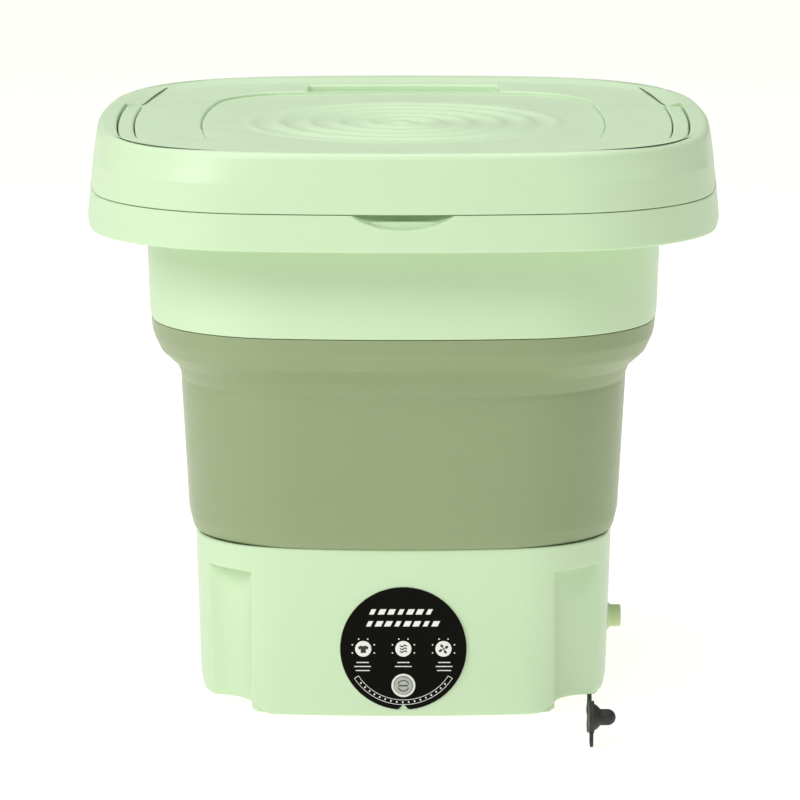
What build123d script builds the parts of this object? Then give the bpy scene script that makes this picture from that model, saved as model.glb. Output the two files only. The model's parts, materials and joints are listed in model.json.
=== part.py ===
"""Portable folding mini washer: a square tub with a soft folding wall, on a base with a pulsator drive.

Millimetres. The origin is the centre of the footprint, on the surface that the feet stand on.
+Z is up, and the control panel faces -Y.
"""
from build123d import *
import math
import os

# ---------------------------------------------------------------- driving dimensions
FOOT_HEIGHT = 1.0
BASE_TOP = 79.5
COLLAR_BOTTOM = 179.5
RIM_BOTTOM = 223.0
RIM_TOP = 239.5
LID_BOTTOM = 239.8
LID_CREST = 266.5
BACK_CREST = 268.0
BACK_RISE_FROM_Y = 55.0

BASE_HALF_BOTTOM = 95.5
BASE_HALF_TOP = 97.8
RIM_HALF_BOTTOM = 146.7
RIM_HALF_TOP = 145.2
RIM_PLATE = 2.8
COLLAR_HALF_BOTTOM = 118.3
COLLAR_HALF_TOP = 120.3
COLLAR_BORE_BOTTOM = 115.6
COLLAR_BORE_TOP = 117.6
LID_HALF_BOTTOM = 145.0
LID_HALF_SHOULDER = 143.0
LID_HALF_TOP = 142.2
LID_SHOULDER_Z = 257.0
LID_EDGE_RADIUS = 7.0
WALL = 2.5

# Outline shapes: corner radius and side radius, as shares of the half width
UPPER = (0.55, 4.0)
BASE = (0.46, 5.0)
GROOVE = (0.47, 5.5)
HANDLE = (0.53, 5.5)

# Base: corner notches, raised side panels, control panel
NOTCH_CENTRE = 90.0
NOTCH_RADIUS = 20.5
NOTCH_TOP = 67.4
SIDE_PANEL_BOTTOM = 5.2
FOOT_PANEL_HALF = 70.0
PANEL_Z = 33.2
PANEL_RADIUS = 29.3
LENS_SPACING = 18.3
BUTTON_DROP = 17.2
LENS_RADIUS = 3.7
BUTTON_RADIUS = 4.1
BUTTON_RING_RADIUS = 5.5
FASCIA_PROUD = 0.6
FASCIA_DEPTH = 1.4
BASE_MOUTH_HALF = 87.0
NOTCH_EASE = 4.0
POST_TOP = 32.0
SCREW_RADIUS = 1.5
COVER_SCREWS = ((-46.0, -76.0), (46.0, -76.0), (-60.0, 70.0), (60.0, 70.0))
FEET = ((-56.0, -58.0), (56.0, -58.0), (-56.0, 56.0), (56.0, 56.0))
JACK_X = 0.0
JACK_Z = 26.0
JACK_RADIUS = 5.5
JACK_BORE = 2.75

# Drive: one spur stage under the basin
GEAR_MODULE = 0.8
GEAR_TEETH = 72
PINION_TEETH = 12
SHAFT_RADIUS = 4.0
FIT = 0.05
BASIN_FLOOR = 64.0
BASIN_TOP = 83.9
BASIN_UNDER = 62.0
BASIN_FLANGE_HALF = 96.8
BASIN_POSTS = ((-38.0, -26.0), (38.0, -26.0), (-38.0, 44.0), (38.0, 44.0))
PLATE_Z = 40.0
PLATE_THICKNESS = 3.0
PULSATOR_RADIUS = 68.0
MOTOR_RADIUS = 18.0
MOTOR_SCREW_SPACING = 12.5
MOTOR_TAG_SPACING = 9.0
LEADS_END_Y = -82.6
LEAD_RADIUS = 0.8

# Drain
SPOUT_Z = 27.0
SPOUT_RADIUS = 5.25
SPOUT_BORE = 3.9
SPOUT_SHOULDER = 1.2
HOSE_BORE = 3.4
SPOUT_INNER_X = 84.0
SPOUT_TIP_X = 103.0
SUMP_X = 56.0

# Lid and handle
HANDLE_OUTER = 132.0
HANDLE_INNER = 125.0
HANDLE_TOP = 265.6
PIN_INNER_X = 127.4
PIN_OUTER_X = 136.0
GROOVE_OUTER = 132.8
GROOVE_INNER = 124.4
GROOVE_FLOOR = 258.3
LID_PLATEAU = 265.0
PIVOT_Y = 34.0
PIVOT_Z = 262.2
PIN_RADIUS = 2.0
CENTRE_FRONT = -112.0
CENTRE_BACK = 97.0
CENTRE_HALF_X = 93.4
CENTRE_CORNER = 38.0
CENTRE_SIDE_BOW = 4.0
CENTRE_END_BOW = 3.0
CENTRE_FLOOR = 262.0
CENTRE_TOP = 264.2
RIPPLE_CENTRE_Y = -12.0
RIPPLE_RADII = (16.0, 30.0, 44.0, 58.0, 72.0)
SLOT_HALF_X = 45.0
SLOT_FRONT = 98.0
SLOT_BACK = 118.0
SLOT_FLOOR = 256.5
SCOOP_RADIUS = 45.7
SCOOP_DEPTH = 6.6
SCOOP_BLOCK_HALF = 34.0
SCOOP_BLOCK_BACK = -130.7
SCOOP_BLOCK_BOTTOM = 226.5
LID_INSIDE_TOP = 255.8
CENTRE_CAVITY_HALF = 121.5
CENTRE_CAVITY_TOP = 259.4
LINER_Z = 242.6
LINER_HALF = 141.2
LINER_RING_BOTTOM = 233.0
LINER_RING_HALF = 114.6
SEAL_HALF = 119.0

# Tether: a thin rubber cord from under the right side panel to the loose drain plug
TETHER_RADIUS = 1.1
ANCHOR_X = 86.2
ANCHOR_Y = -50.0
PLUG_X = 84.1
PLUG_Y = -148.0
PLUG_HEAD_RADIUS = 7.4
PLUG_TAB_REACH = 13.4
PLUG_STEM_RADIUS = 3.7
PLUG_STEM_TIP = 10.9
PLUG_THICKNESS = 2.4
TETHER_ROUTE = (
    (86.2, -55.5, 3.4),
    (86.3, -61.5, 3.0),
    (85.9, -70.0, 1.4),
    (85.0, -82.0, 1.12),
    (85.1, -95.0, 1.12),
    (84.3, -108.0, 1.12),
    (84.1, -119.0, 1.12),
    (83.6, -128.5, 2.4),
    (83.7, -135.0, 6.8),
    (83.9, -138.8, 12.2),
)


# ---------------------------------------------------------------- outlines and stacks
def outline(half, shape):
    """A square outline with bowed sides and round corners, all arcs tangent, as a face at z = 0."""
    corner_radius, side_radius = shape[0] * half, shape[1] * half
    reach = side_radius - corner_radius
    offset = side_radius - half
    c = (-offset + math.sqrt(2 * reach**2 - offset**2)) / 2
    tx = side_radius * c / reach
    ty = (half - side_radius) + side_radius * (c + offset) / reach
    tip = c + corner_radius / math.sqrt(2)
    arcs = []
    for quarter in range(4):
        turn = Rot(0, 0, 90 * quarter)
        arcs.append(turn * ThreePointArc((-tx, ty), (0, half), (tx, ty)))
        arcs.append(turn * ThreePointArc((tx, ty), (tip, tip), (ty, tx)))
    return make_face(Wire(arcs))


def stack(levels, shape=UPPER):
    """A solid through outlines given as (z, half width) pairs."""
    faces = [Pos(0, 0, z) * outline(half, shape) for z, half in levels]
    return loft(faces, ruled=True)


def tube(z_low, z_high, outer, inner):
    """A round ring or bush on the Z axis."""
    ring = Pos(0, 0, z_low) * Cylinder(outer, z_high - z_low, align=FROM_BASE)
    return ring - Pos(0, 0, z_low - 1) * Cylinder(inner, z_high - z_low + 2, align=FROM_BASE)


def rod(z_low, z_high, radius):
    """A round bar on the Z axis."""
    return Pos(0, 0, z_low) * Cylinder(radius, z_high - z_low, align=FROM_BASE)


def slab(x_low, x_high, y_low, y_high, z_low, z_high):
    """A box between two corners."""
    centre = ((x_low + x_high) / 2, (y_low + y_high) / 2, (z_low + z_high) / 2)
    return Pos(*centre) * Box(x_high - x_low, y_high - y_low, z_high - z_low)


def eased(shape, edges, radius):
    """shape with these edges rounded."""
    return fillet(edges, radius) if len(edges) else shape


FROM_BASE = (Align.CENTER, Align.CENTER, Align.MIN)
BIG = 400.0


def base_half(z):
    """Half width of the base at height z."""
    share = (z - FOOT_HEIGHT) / (BASE_TOP - FOOT_HEIGHT)
    return BASE_HALF_BOTTOM + share * (BASE_HALF_TOP - BASE_HALF_BOTTOM)


# The control panel lies on the sloping front face. Local +Y points into the base.
PANEL_TILT = math.degrees(math.atan2(BASE_HALF_TOP - BASE_HALF_BOTTOM, BASE_TOP - FOOT_HEIGHT))
PANEL = Pos(0, -base_half(PANEL_Z), PANEL_Z) * Rot(PANEL_TILT, 0, 0)


def on_panel(x, z, radius, depth_from, depth_to):
    """A disc in the panel's own frame, from one depth into the base to another."""
    disc = Cylinder(radius, depth_to - depth_from, rotation=(90, 0, 0))
    return PANEL * Pos(x, (depth_from + depth_to) / 2, z) * disc


# ---------------------------------------------------------------- base
def notches(grow=0.0, top=NOTCH_TOP):
    """The four round cuts that leave a panel standing out on each side of the base."""
    cut = Pos(math.hypot(NOTCH_CENTRE, NOTCH_CENTRE), 0, 0) * rod(-10, top, NOTCH_RADIUS + grow)
    return [Rot(0, 0, 45 + 90 * quarter) * cut for quarter in range(4)]


def notched_outline(half):
    """The base's outline with its four round corner notches, their mouths eased, as a face at z = 0."""
    face = outline(half, BASE)
    reach = math.hypot(NOTCH_CENTRE, NOTCH_CENTRE)
    centres = [Rot(0, 0, 45 + 90 * quarter) * Pos(reach, 0, 0) for quarter in range(4)]
    for centre in centres:
        face -= centre * Circle(NOTCH_RADIUS)
    middles = [centre.position for centre in centres]
    mouths = [
        corner
        for corner in face.vertices()
        if min(abs((Vector(*corner) - middle).length - NOTCH_RADIUS) for middle in middles) < FIT
    ]
    return fillet(mouths, NOTCH_EASE)


def below_side_panels():
    """The space under the two side panels, which stop short of the surface."""
    return [
        slab(FOOT_PANEL_HALF, BIG, -BIG, BIG, -10, SIDE_PANEL_BOTTOM),
        slab(-BIG, -FOOT_PANEL_HALF, -BIG, BIG, -10, SIDE_PANEL_BOTTOM),
    ]


def base_housing():
    """Outer casing of the base: open below, with the corner notches and the control panel's seat."""
    panels = [Pos(0, 0, z) * notched_outline(base_half(z)) for z in (FOOT_HEIGHT, NOTCH_TOP)]
    band = [(NOTCH_TOP, base_half(NOTCH_TOP)), (BASE_TOP, BASE_HALF_TOP)]
    outer = loft(panels, ruled=True) + stack(band, BASE)
    for cut in below_side_panels():
        outer -= cut
    lowest = [e for e in outer.edges() if e.bounding_box().max.Z < FOOT_HEIGHT + 0.01]
    outer = eased(outer, lowest, 1.2)
    inner_levels = [(FOOT_HEIGHT - 1, BASE_HALF_BOTTOM - WALL), (BASE_TOP - WALL, BASE_HALF_TOP - WALL)]
    inner = stack(inner_levels, BASE)
    for cut in notches(WALL, NOTCH_TOP + WALL):
        inner -= cut
    shell = outer - inner
    shell -= stack([(BASE_TOP - 10, BASE_MOUTH_HALF), (BASE_TOP + 1, BASE_MOUTH_HALF)], BASE)
    shell -= on_panel(0, 0, PANEL_RADIUS + 0.3, -5, FASCIA_DEPTH)
    shell -= on_panel(0, 0, PANEL_RADIUS - 4.5, -5, 12)
    shell -= Pos(90, 0, SPOUT_Z) * Cylinder(SPOUT_RADIUS + 0.1, 40, rotation=(0, 90, 0))
    shell -= Pos(JACK_X, 90, JACK_Z) * Cylinder(JACK_RADIUS + 0.1, 40, rotation=(90, 0, 0))
    for x, y in COVER_SCREWS:
        post = Pos(x, y, 0) * rod(8.0, POST_TOP, 4.0)
        wall_y = math.copysign(BASE_HALF_TOP, y)
        rib = slab(x - 1.2, x + 1.2, min(y, wall_y), max(y, wall_y), 14.0, POST_TOP)
        shell += (post + rib) & inner
        shell -= Pos(x, y, 0) * rod(0.0, POST_TOP - 2, SCREW_RADIUS)
    return shell


def cover_outline(z_low, z_high, gap):
    """A slice that fits inside the casing with a gap all round."""
    levels = [(z_low, base_half(z_low) - WALL - gap), (z_high, base_half(z_high) - WALL - gap)]
    slice_ = stack(levels, BASE)
    for cut in notches(WALL + gap):
        slice_ -= cut
    return slice_


def bottom_cover():
    """Closing plate: low between the front and back panels, raised under the side panels."""
    middle = cover_outline(FOOT_HEIGHT, 8.0, 0.3)
    low = middle & slab(-FOOT_PANEL_HALF + 0.4, FOOT_PANEL_HALF - 0.4, -BIG, BIG, FOOT_HEIGHT, 4.0)
    webs = middle & (
        slab(-FOOT_PANEL_HALF + 0.4, -FOOT_PANEL_HALF + 2.9, -BIG, BIG, FOOT_HEIGHT, 7.8)
        + slab(FOOT_PANEL_HALF - 2.9, FOOT_PANEL_HALF - 0.4, -BIG, BIG, FOOT_HEIGHT, 7.8)
    )
    wings = middle & (
        slab(-BIG, -FOOT_PANEL_HALF + 0.4, -BIG, BIG, 5.4, 7.8)
        + slab(FOOT_PANEL_HALF - 0.4, BIG, -BIG, BIG, 5.4, 7.8)
    )
    plate = low + webs + wings
    for x, y in COVER_SCREWS:
        plate -= Pos(x, y, 0) * Cylinder(1.8, 20, align=FROM_BASE)
        plate -= Pos(x, y, 0) * Cylinder(3.6, 3.2, align=FROM_BASE)
    for x, y in FEET:
        plate -= Pos(x, y, 0) * Cylinder(4.0, 20, align=FROM_BASE)
    plate -= Pos(ANCHOR_X, ANCHOR_Y, 0) * Cylinder(1.6, 20, align=FROM_BASE)
    for slot in range(-3, 4):
        plate -= slab(-14, 14, 5 * slot - 1, 5 * slot + 1, 0, 20)
    return plate


def cover_screws():
    """Four pan-head screws that hold the bottom cover to the casing's posts."""
    screws = []
    for x, y in COVER_SCREWS:
        screw = rod(1.7, 3.2, 3.2) + rod(3.2, 22.0, 1.5)
        screw -= slab(-2.0, 2.0, -0.4, 0.4, 0, 2.3) + slab(-0.4, 0.4, -2.0, 2.0, 0, 2.3)
        screws.append(Pos(x, y, 0) * screw)
    return Compound(screws)


def suction_feet():
    """Four rubber suction feet, each a shallow cup pushed into the bottom cover by its stem."""
    feet = []
    for x, y in FEET:
        cup = Cone(11.0, 9.5, FOOT_HEIGHT, align=FROM_BASE)
        cup -= Pos(0, 0, -0.01) * Cone(8.0, 3.0, 0.7, align=FROM_BASE)
        stem = rod(FOOT_HEIGHT, 4.0, 3.95) + rod(4.0, 6.0, 5.2)
        feet.append(Pos(x, y, 0) * (cup + stem))
    return Compound(feet)


# ---------------------------------------------------------------- soft wall, basin, drain
WALL_OUTER = (
    (79.5, 98.3),
    (81.0, 99.9),
    (84.5, 100.7),
    (90.0, 101.1),
    (152.7, 104.6),
    (156.5, 106.2),
    (160.4, 110.8),
    (163.9, 114.4),
    (168.0, 116.4),
    (172.5, 117.4),
    (179.3, 118.1),
)
WALL_INNER = (
    (81.7, 97.4),
    (90.0, 98.9),
    (153.6, 102.4),
    (158.0, 104.0),
    (162.6, 108.8),
    (166.3, 112.4),
    (170.4, 113.6),
    (174.0, 113.8),
    (191.0, 113.4),
)
WALL_LIP_HALF = 115.3
WALL_LIP_TOP = 190.0
WALL_FLANGE_HALF = 86.0
CLAMP_HALF = 113.0


def folding_wall():
    """The soft wall from the base to the upper frame, with a flange below and a lip inside the collar."""
    lip = stack([(174.0, WALL_LIP_HALF), (WALL_LIP_TOP, WALL_LIP_HALF)])
    wall = (stack(WALL_OUTER) + lip) - stack(WALL_INNER)
    return wall - stack([(BASE_TOP - 1, WALL_FLANGE_HALF), (WALL_INNER[0][0] + 0.5, WALL_FLANGE_HALF)])


def tub_basin():
    """The rigid tub floor, clamped over the soft wall's flange, with the shaft's boss and the sump."""
    flange = stack([(81.8, BASIN_FLANGE_HALF), (BASIN_TOP, BASIN_FLANGE_HALF)])
    bowl = stack([(BASIN_UNDER, 79.0), (66.0, 82.6), (BASIN_TOP, 85.6)])
    hollow = stack([(BASIN_FLOOR, 77.6), (67.6, 80.8), (BASIN_TOP + 1, 83.8)])
    basin = flange + bowl - hollow
    basin += rod(54.0, 67.0, 12.0)
    basin -= rod(50.0, 70.0, 8.0)
    basin += Pos(SUMP_X, 0, 0) * rod(50.0, BASIN_UNDER + 0.5, 5.0)
    basin -= Pos(SUMP_X, 0, 0) * rod(40.0, 70.0, 3.5)
    for x, y in BASIN_POSTS:
        basin += Pos(x, y, 0) * rod(43.0, BASIN_UNDER + 0.5, 4.0)
        basin -= Pos(x, y, 0) * rod(40.0, 55.0, 1.5)
    return basin


def drain_strainer():
    """A round strainer plate over the sump."""
    plate = Pos(SUMP_X, 0, 0) * rod(BASIN_FLOOR + 0.02, BASIN_FLOOR + 1.4, 7.0)
    for ring, count in ((2.4, 6), (4.9, 10)):
        for hole in range(count):
            turn = 2 * math.pi * hole / count
            x, y = SUMP_X + ring * math.cos(turn), ring * math.sin(turn)
            plate -= Pos(x, y, 0) * rod(60.0, 70.0, 0.75)
    return plate


def drain_spout():
    """The outlet that stands out of the right side panel, with a shoulder, a lock ring and a bore."""
    face_x = base_half(SPOUT_Z)
    body = along_x(SPOUT_INNER_X, SPOUT_TIP_X, SPOUT_RADIUS)
    shoulder = Pos(face_x + 0.5, 0, SPOUT_Z) * Rot(0, 90, 0)
    shoulder *= Cone(SPOUT_RADIUS + 1.6, SPOUT_RADIUS, SPOUT_SHOULDER, align=FROM_BASE)
    lock_x = face_x - WALL - 3.0
    lock = along_x(lock_x, lock_x + 1.9, SPOUT_RADIUS + 2.1)
    return body + shoulder + lock - along_x(SPOUT_INNER_X - 5, SPOUT_TIP_X + 5, SPOUT_BORE)


def along_x(x_low, x_high, radius, y=0.0, z=SPOUT_Z):
    """A round bar along X."""
    return Pos(x_low, y, z) * Rot(0, 90, 0) * Cylinder(radius, x_high - x_low, align=FROM_BASE)


def drain_hose():
    """The elbow hose from the basin's sump to the spout, inside the base."""
    ends = ((SUMP_X, 0, 49.9), (SUMP_X, 0, SPOUT_Z), (SPOUT_INNER_X - 0.1, 0, SPOUT_Z))
    path = FilletPolyline(*ends, radius=12.0)
    outside = sweep((path ^ 0) * Circle(SPOUT_RADIUS), path=path)
    inside = sweep((path ^ 0) * Circle(HOSE_BORE), path=path)
    return outside - inside


# ---------------------------------------------------------------- drain plug on its tether
def tether_anchor():
    """A headed peg under the right side panel that holds the tether's eye."""
    return Pos(ANCHOR_X, ANCHOR_Y, 0) * (rod(1.2, 2.0, 3.2) + rod(2.0, 9.5, 1.55) + rod(7.9, 9.5, 2.4))


def tether_eye():
    """The moulded eye at the tether's fixed end."""
    eye = Pos(ANCHOR_X, ANCHOR_Y, 0) * tube(2.1, 4.7, 4.0, 1.6)
    neck_from = ANCHOR_Y - 3.6
    neck = Pos(ANCHOR_X, (neck_from + TETHER_ROUTE[0][1]) / 2, 3.4)
    neck *= Cylinder(1.3, abs(TETHER_ROUTE[0][1] - neck_from), rotation=(90, 0, 0))
    return eye + neck


def corner_radii(points, share=0.45):
    """A tangent arc for each corner of a route: a share of its shorter run over tan(half the turn)."""
    radii = []
    for before, here, after in zip(points, points[1:], points[2:]):
        a, b = Vector(*here) - Vector(*before), Vector(*after) - Vector(*here)
        half_turn = math.radians(a.get_angle(b)) / 2
        radii.append(share * min(a.length, b.length) / math.tan(half_turn))
    return radii


def plug_tether():
    """The free rubber cord between the eye and the plug, lying on the surface."""
    radii = corner_radii(TETHER_ROUTE)
    path = FilletPolyline(*TETHER_ROUTE, radius=radii)
    cord = sweep((path ^ 0) * Circle(TETHER_RADIUS), path=path)
    expected = math.pi * TETHER_RADIUS**2 * path.length
    print("tether radii", [round(r, 1) for r in radii])
    print("tether length", round(path.length, 1), "volume share", round(cord.volume / expected, 4))
    return cord


def drain_plug():
    """The loose rubber stopper: a round head standing on its pull tab, a hub, a stem and a boss."""
    middle = PLUG_THICKNESS / 2
    place = Pos(PLUG_X, PLUG_Y, PLUG_TAB_REACH)
    head = along_x(PLUG_X - middle, PLUG_X + middle, PLUG_HEAD_RADIUS, PLUG_Y, PLUG_TAB_REACH)
    tab = slab(PLUG_X - middle, PLUG_X + middle, PLUG_Y - 4, PLUG_Y + 4, 0, PLUG_TAB_REACH)
    hub = place * Rot(0, 90, 0) * Cone(6.0, PLUG_STEM_RADIUS, 4.0, align=FROM_BASE)
    round_x = PLUG_X + PLUG_STEM_TIP - PLUG_STEM_RADIUS
    stem = along_x(PLUG_X, round_x, PLUG_STEM_RADIUS, PLUG_Y, PLUG_TAB_REACH)
    tip = Pos(round_x, PLUG_Y, PLUG_TAB_REACH) * Sphere(PLUG_STEM_RADIUS)
    end = Vector(*TETHER_ROUTE[-1])
    direction = (end - Vector(*TETHER_ROUTE[-2])).normalized()
    boss = Plane(origin=end, z_dir=direction) * Cylinder(1.5, 4.2, align=FROM_BASE)
    return head + tab + hub + stem + tip + boss


# ---------------------------------------------------------------- drive
def involute(angle):
    """The involute function of a pressure angle."""
    return math.tan(angle) - angle


def spur_gear(teeth, z_low, z_high, phase):
    """A spur gear with involute flanks and a little backlash; a tooth's centre is at phase, in degrees."""
    pressure = math.radians(20)
    pitch = GEAR_MODULE * teeth / 2
    base = pitch * math.cos(pressure)
    tip = pitch + 0.85 * GEAR_MODULE
    root = pitch - 1.15 * GEAR_MODULE
    points = []
    for tooth in range(teeth):
        middle = math.radians(phase) + 2 * math.pi * tooth / teeth
        flank = []
        for step in range(4):
            r = max(base, root) + (tip - max(base, root)) * step / 3
            half = math.pi / (2 * teeth) + involute(pressure) - involute(math.acos(min(1.0, base / r)))
            flank.append((r, half - 0.05 / pitch))
        if base > root:
            flank.insert(0, (root, flank[0][1]))
        for r, half in flank:
            points.append((r * math.cos(middle - half), r * math.sin(middle - half)))
        for r, half in reversed(flank):
            points.append((r * math.cos(middle + half), r * math.sin(middle + half)))
    return Pos(0, 0, z_low) * extrude(make_face(Polyline(*points, close=True)), z_high - z_low)


CENTRE_DISTANCE = GEAR_MODULE * (GEAR_TEETH + PINION_TEETH) / 2
MOTOR = Pos(0, CENTRE_DISTANCE, 0)


def drive_gear():
    """The large gear fixed on the pulsator's shaft, with lightening holes."""
    gear = spur_gear(GEAR_TEETH, 44.0, 51.0, 90.0)
    gear -= tube(46.0, 52.0, 25.0, 11.0)
    gear += rod(44.0, 53.4, 8.0)
    for hole in range(6):
        gear -= Rot(0, 0, 60 * hole) * Pos(17.5, 0, 0) * rod(40.0, 50.0, 4.0)
    return gear - rod(40.0, 60.0, SHAFT_RADIUS)


def motor_pinion():
    """The small gear pressed on the motor's shaft."""
    return MOTOR * (spur_gear(PINION_TEETH, 44.2, 51.2, 15.0) - rod(40.0, 60.0, 1.6))


def motor_shaft():
    """The motor's output shaft."""
    return MOTOR * rod(36.0, 53.0, 1.6)


def motor_body():
    """A 12 volt can motor, its front boss up against the drive plate."""
    can = rod(7.6, 39.6, MOTOR_RADIUS)
    can = eased(can, can.edges().sort_by(Axis.Z)[:1] + can.edges().sort_by(Axis.Z)[-1:], 1.2)
    can += rod(39.6, 43.0, 5.0)
    can -= rod(30.0, 60.0, 1.7)
    for side in (-1, 1):
        can += Pos(side * MOTOR_TAG_SPACING, 0, 0) * (slab(-0.4, 0.4, -2.0, 2.0, 4.6, 8.6))
        can -= Pos(side * MOTOR_SCREW_SPACING, 0, 0) * rod(34.0, 60.0, 1.45)
    return MOTOR * can


def drive_plate():
    """The plate that hangs under the basin and holds the motor and the shaft's lower bush."""
    plate = Pos(0, 9.0, PLATE_Z) * extrude(RectangleRounded(88, 82, 8), PLATE_THICKNESS)
    plate += rod(30.0, PLATE_Z + PLATE_THICKNESS, 10.0)
    plate -= rod(20.0, 50.0, 6.5)
    plate -= MOTOR * rod(30.0, 50.0, 5.1)
    plate -= Pos(SUMP_X, 0, 0) * rod(30.0, 50.0, 14.0)
    for side in (-1, 1):
        plate -= MOTOR * Pos(side * MOTOR_SCREW_SPACING, 0, 0) * rod(30.0, 50.0, 1.6)
    for x, y in BASIN_POSTS:
        plate -= Pos(x, y, 0) * rod(30.0, 50.0, 1.6)
    return plate


def screws_up(places, z_head, length, radius):
    """Pan-head screws pointing up, as one group."""
    head = rod(z_head - 1.8, z_head, 2 * radius)
    head -= slab(-radius, radius, -0.35, 0.35, z_head - 2, z_head - 1.1)
    return Compound([Pos(x, y, 0) * (head + rod(z_head, z_head + length, radius)) for x, y in places])


def motor_screws():
    """Two screws through the drive plate down into the motor's face."""
    made = []
    for side in (-1, 1):
        screw = rod(43.0, 43.9, 2.6) + rod(35.0, 43.0, 1.4)
        made.append(MOTOR * Pos(side * MOTOR_SCREW_SPACING, 0, 0) * screw)
    return Compound(made)


def drive_shaft():
    """The pulsator's shaft, threaded at the top for the pulsator screw."""
    shaft = rod(29.0, 80.0, SHAFT_RADIUS)
    return eased(shaft, shaft.edges().sort_by(Axis.Z)[:1], 0.8) - rod(68.0, 81.0, 1.5)


def pulsator():
    """The ribbed disc that turns the water, with a hub over the shaft and six swept blades."""
    profile = Plane.XZ * make_face(
        Polyline(
            (0, 71.5), (PULSATOR_RADIUS - 3, 69.2), (PULSATOR_RADIUS, 69.8), (PULSATOR_RADIUS, 71.4),
            (PULSATOR_RADIUS - 4, 72.4), (30, 75.0), (17, 80.0), (0, 82.0), close=True,
        )
    )
    disc = revolve(profile, Axis.Z)
    blade = Pos(0, 0, 70.5) * extrude(
        make_face(
            Wire(
                [
                    ThreePointArc((12, -1.5), (38, -6.5), (62, -1.8)),
                    ThreePointArc((62, -1.8), (64.2, 0.4), (62, 2.6)),
                    ThreePointArc((62, 2.6), (38, -0.8), (12, 3.5)),
                    Line((12, 3.5), (12, -1.5)),
                ]
            )
        ),
        10.5,
    )
    above = Polyline((0, 86), (20, 84.5), (64, 75), (90, 75), (90, 100), (0, 100), close=True)
    blade -= revolve(Plane.XZ * make_face(above), Axis.Z)
    for turn in range(6):
        disc += Rot(0, 0, 60 * turn) * blade
    disc += rod(68.0, 84.0, 11.0)
    disc -= rod(60.0, 80.0, SHAFT_RADIUS + 0.02)
    disc -= rod(60.0, 90.0, 1.9)
    disc -= rod(82.0, 90.0, 6.0)
    for ring in (40.0, 54.0):
        for hole in range(12):
            disc -= Rot(0, 0, 30 * hole + 15) * Pos(ring, 0, 0) * rod(60.0, 80.0, 1.6)
    return disc


def pulsator_screw():
    """The screw that holds the pulsator on its shaft."""
    return rod(82.0, 83.8, 3.6) - slab(-3, 3, -0.5, 0.5, 83.1, 90) + rod(68.5, 82.0, 1.48)


def pulsator_cap():
    """The press-in cap over the screw."""
    cap = rod(84.0, 85.4, 6.8) + rod(83.85, 84.2, 5.9)
    return eased(cap, cap.edges().sort_by(Axis.Z)[-1:], 0.9)


# ---------------------------------------------------------------- control panel
def control_fascia():
    """The black round panel, with windows for the three lenses and the button, and a notch at its foot."""
    plate = on_panel(0, 0, PANEL_RADIUS, -FASCIA_PROUD, FASCIA_DEPTH)
    for index in (-1, 0, 1):
        plate -= on_panel(index * LENS_SPACING, 0, LENS_RADIUS, -5, 5)
    plate -= on_panel(0, -BUTTON_DROP, BUTTON_RING_RADIUS, -5, 5)
    notch = extrude(make_face(Polyline((-1.6, -2.2), (1.6, -2.2), (0, 2.0), close=True)), 6, both=True)
    return plate - PANEL * Pos(0, 0, -PANEL_RADIUS) * Rot(90, 0, 0) * notch


def mode_lens(index):
    """One light guide: a clear disc in the fascia with a stalk back to its lamp."""
    x = index * LENS_SPACING
    lens = on_panel(x, 0, LENS_RADIUS - FIT, -FASCIA_PROUD - 0.15, FASCIA_DEPTH)
    return lens + on_panel(x, 0, 2.2, FASCIA_DEPTH, 6.4)


def button_ring():
    """The bright trim ring round the button."""
    ring = on_panel(0, -BUTTON_DROP, BUTTON_RING_RADIUS - FIT, -1.0, FASCIA_DEPTH)
    ring += on_panel(0, -BUTTON_DROP, BUTTON_RING_RADIUS + 1.2, FASCIA_DEPTH, 2.2)
    return ring - on_panel(0, -BUTTON_DROP, BUTTON_RADIUS + 0.15, -5, 5)


def power_button():
    """The push button: a disc, its stem, and the flange that keeps it in."""
    button = on_panel(0, -BUTTON_DROP, BUTTON_RADIUS, -1.5, 2.4)
    button += on_panel(0, -BUTTON_DROP, BUTTON_RADIUS + 1.2, 2.4, 3.2)
    return button + on_panel(0, -BUTTON_DROP, 1.5, 3.2, 5.2)


def control_board():
    """The round circuit board behind the fascia, on two pegs from its back."""
    board = on_panel(0, 0, 23.5, 8.0, 9.6)
    return board - on_panel(-12, 12, 1.2, 5, 12) - on_panel(12, 12, 1.2, 5, 12)


def board_lamps():
    """Three lamps on the board, one behind each lens."""
    return Compound([on_panel(index * LENS_SPACING, 0, 1.6, 6.5, 8.0) for index in (-1, 0, 1)])


def tact_switch():
    """The switch that the button presses."""
    body = PANEL * Pos(0, 7.4, -BUTTON_DROP) * Box(6, 1.2, 6)
    return body + on_panel(0, -BUTTON_DROP, 1.7, 6.1, 6.8)


def board_chip():
    """The controller chip and two capacitors on the back of the board."""
    chip = PANEL * Pos(-6, 10.5, 4) * Box(10, 1.8, 7)
    return Compound([chip, on_panel(9, 6, 3.0, 9.6, 17.0), on_panel(9, -4, 2.5, 9.6, 15.0)])


def board_carrier():
    """The frame that clips the board behind the casing's front wall."""
    ring = on_panel(0, 0, 26.5, 6.0, 12.0) - on_panel(0, 0, 23.6, 5.0, 13.0)
    return ring - PANEL * Pos(0, 9, -24) * Box(8, 10, 8)


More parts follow.
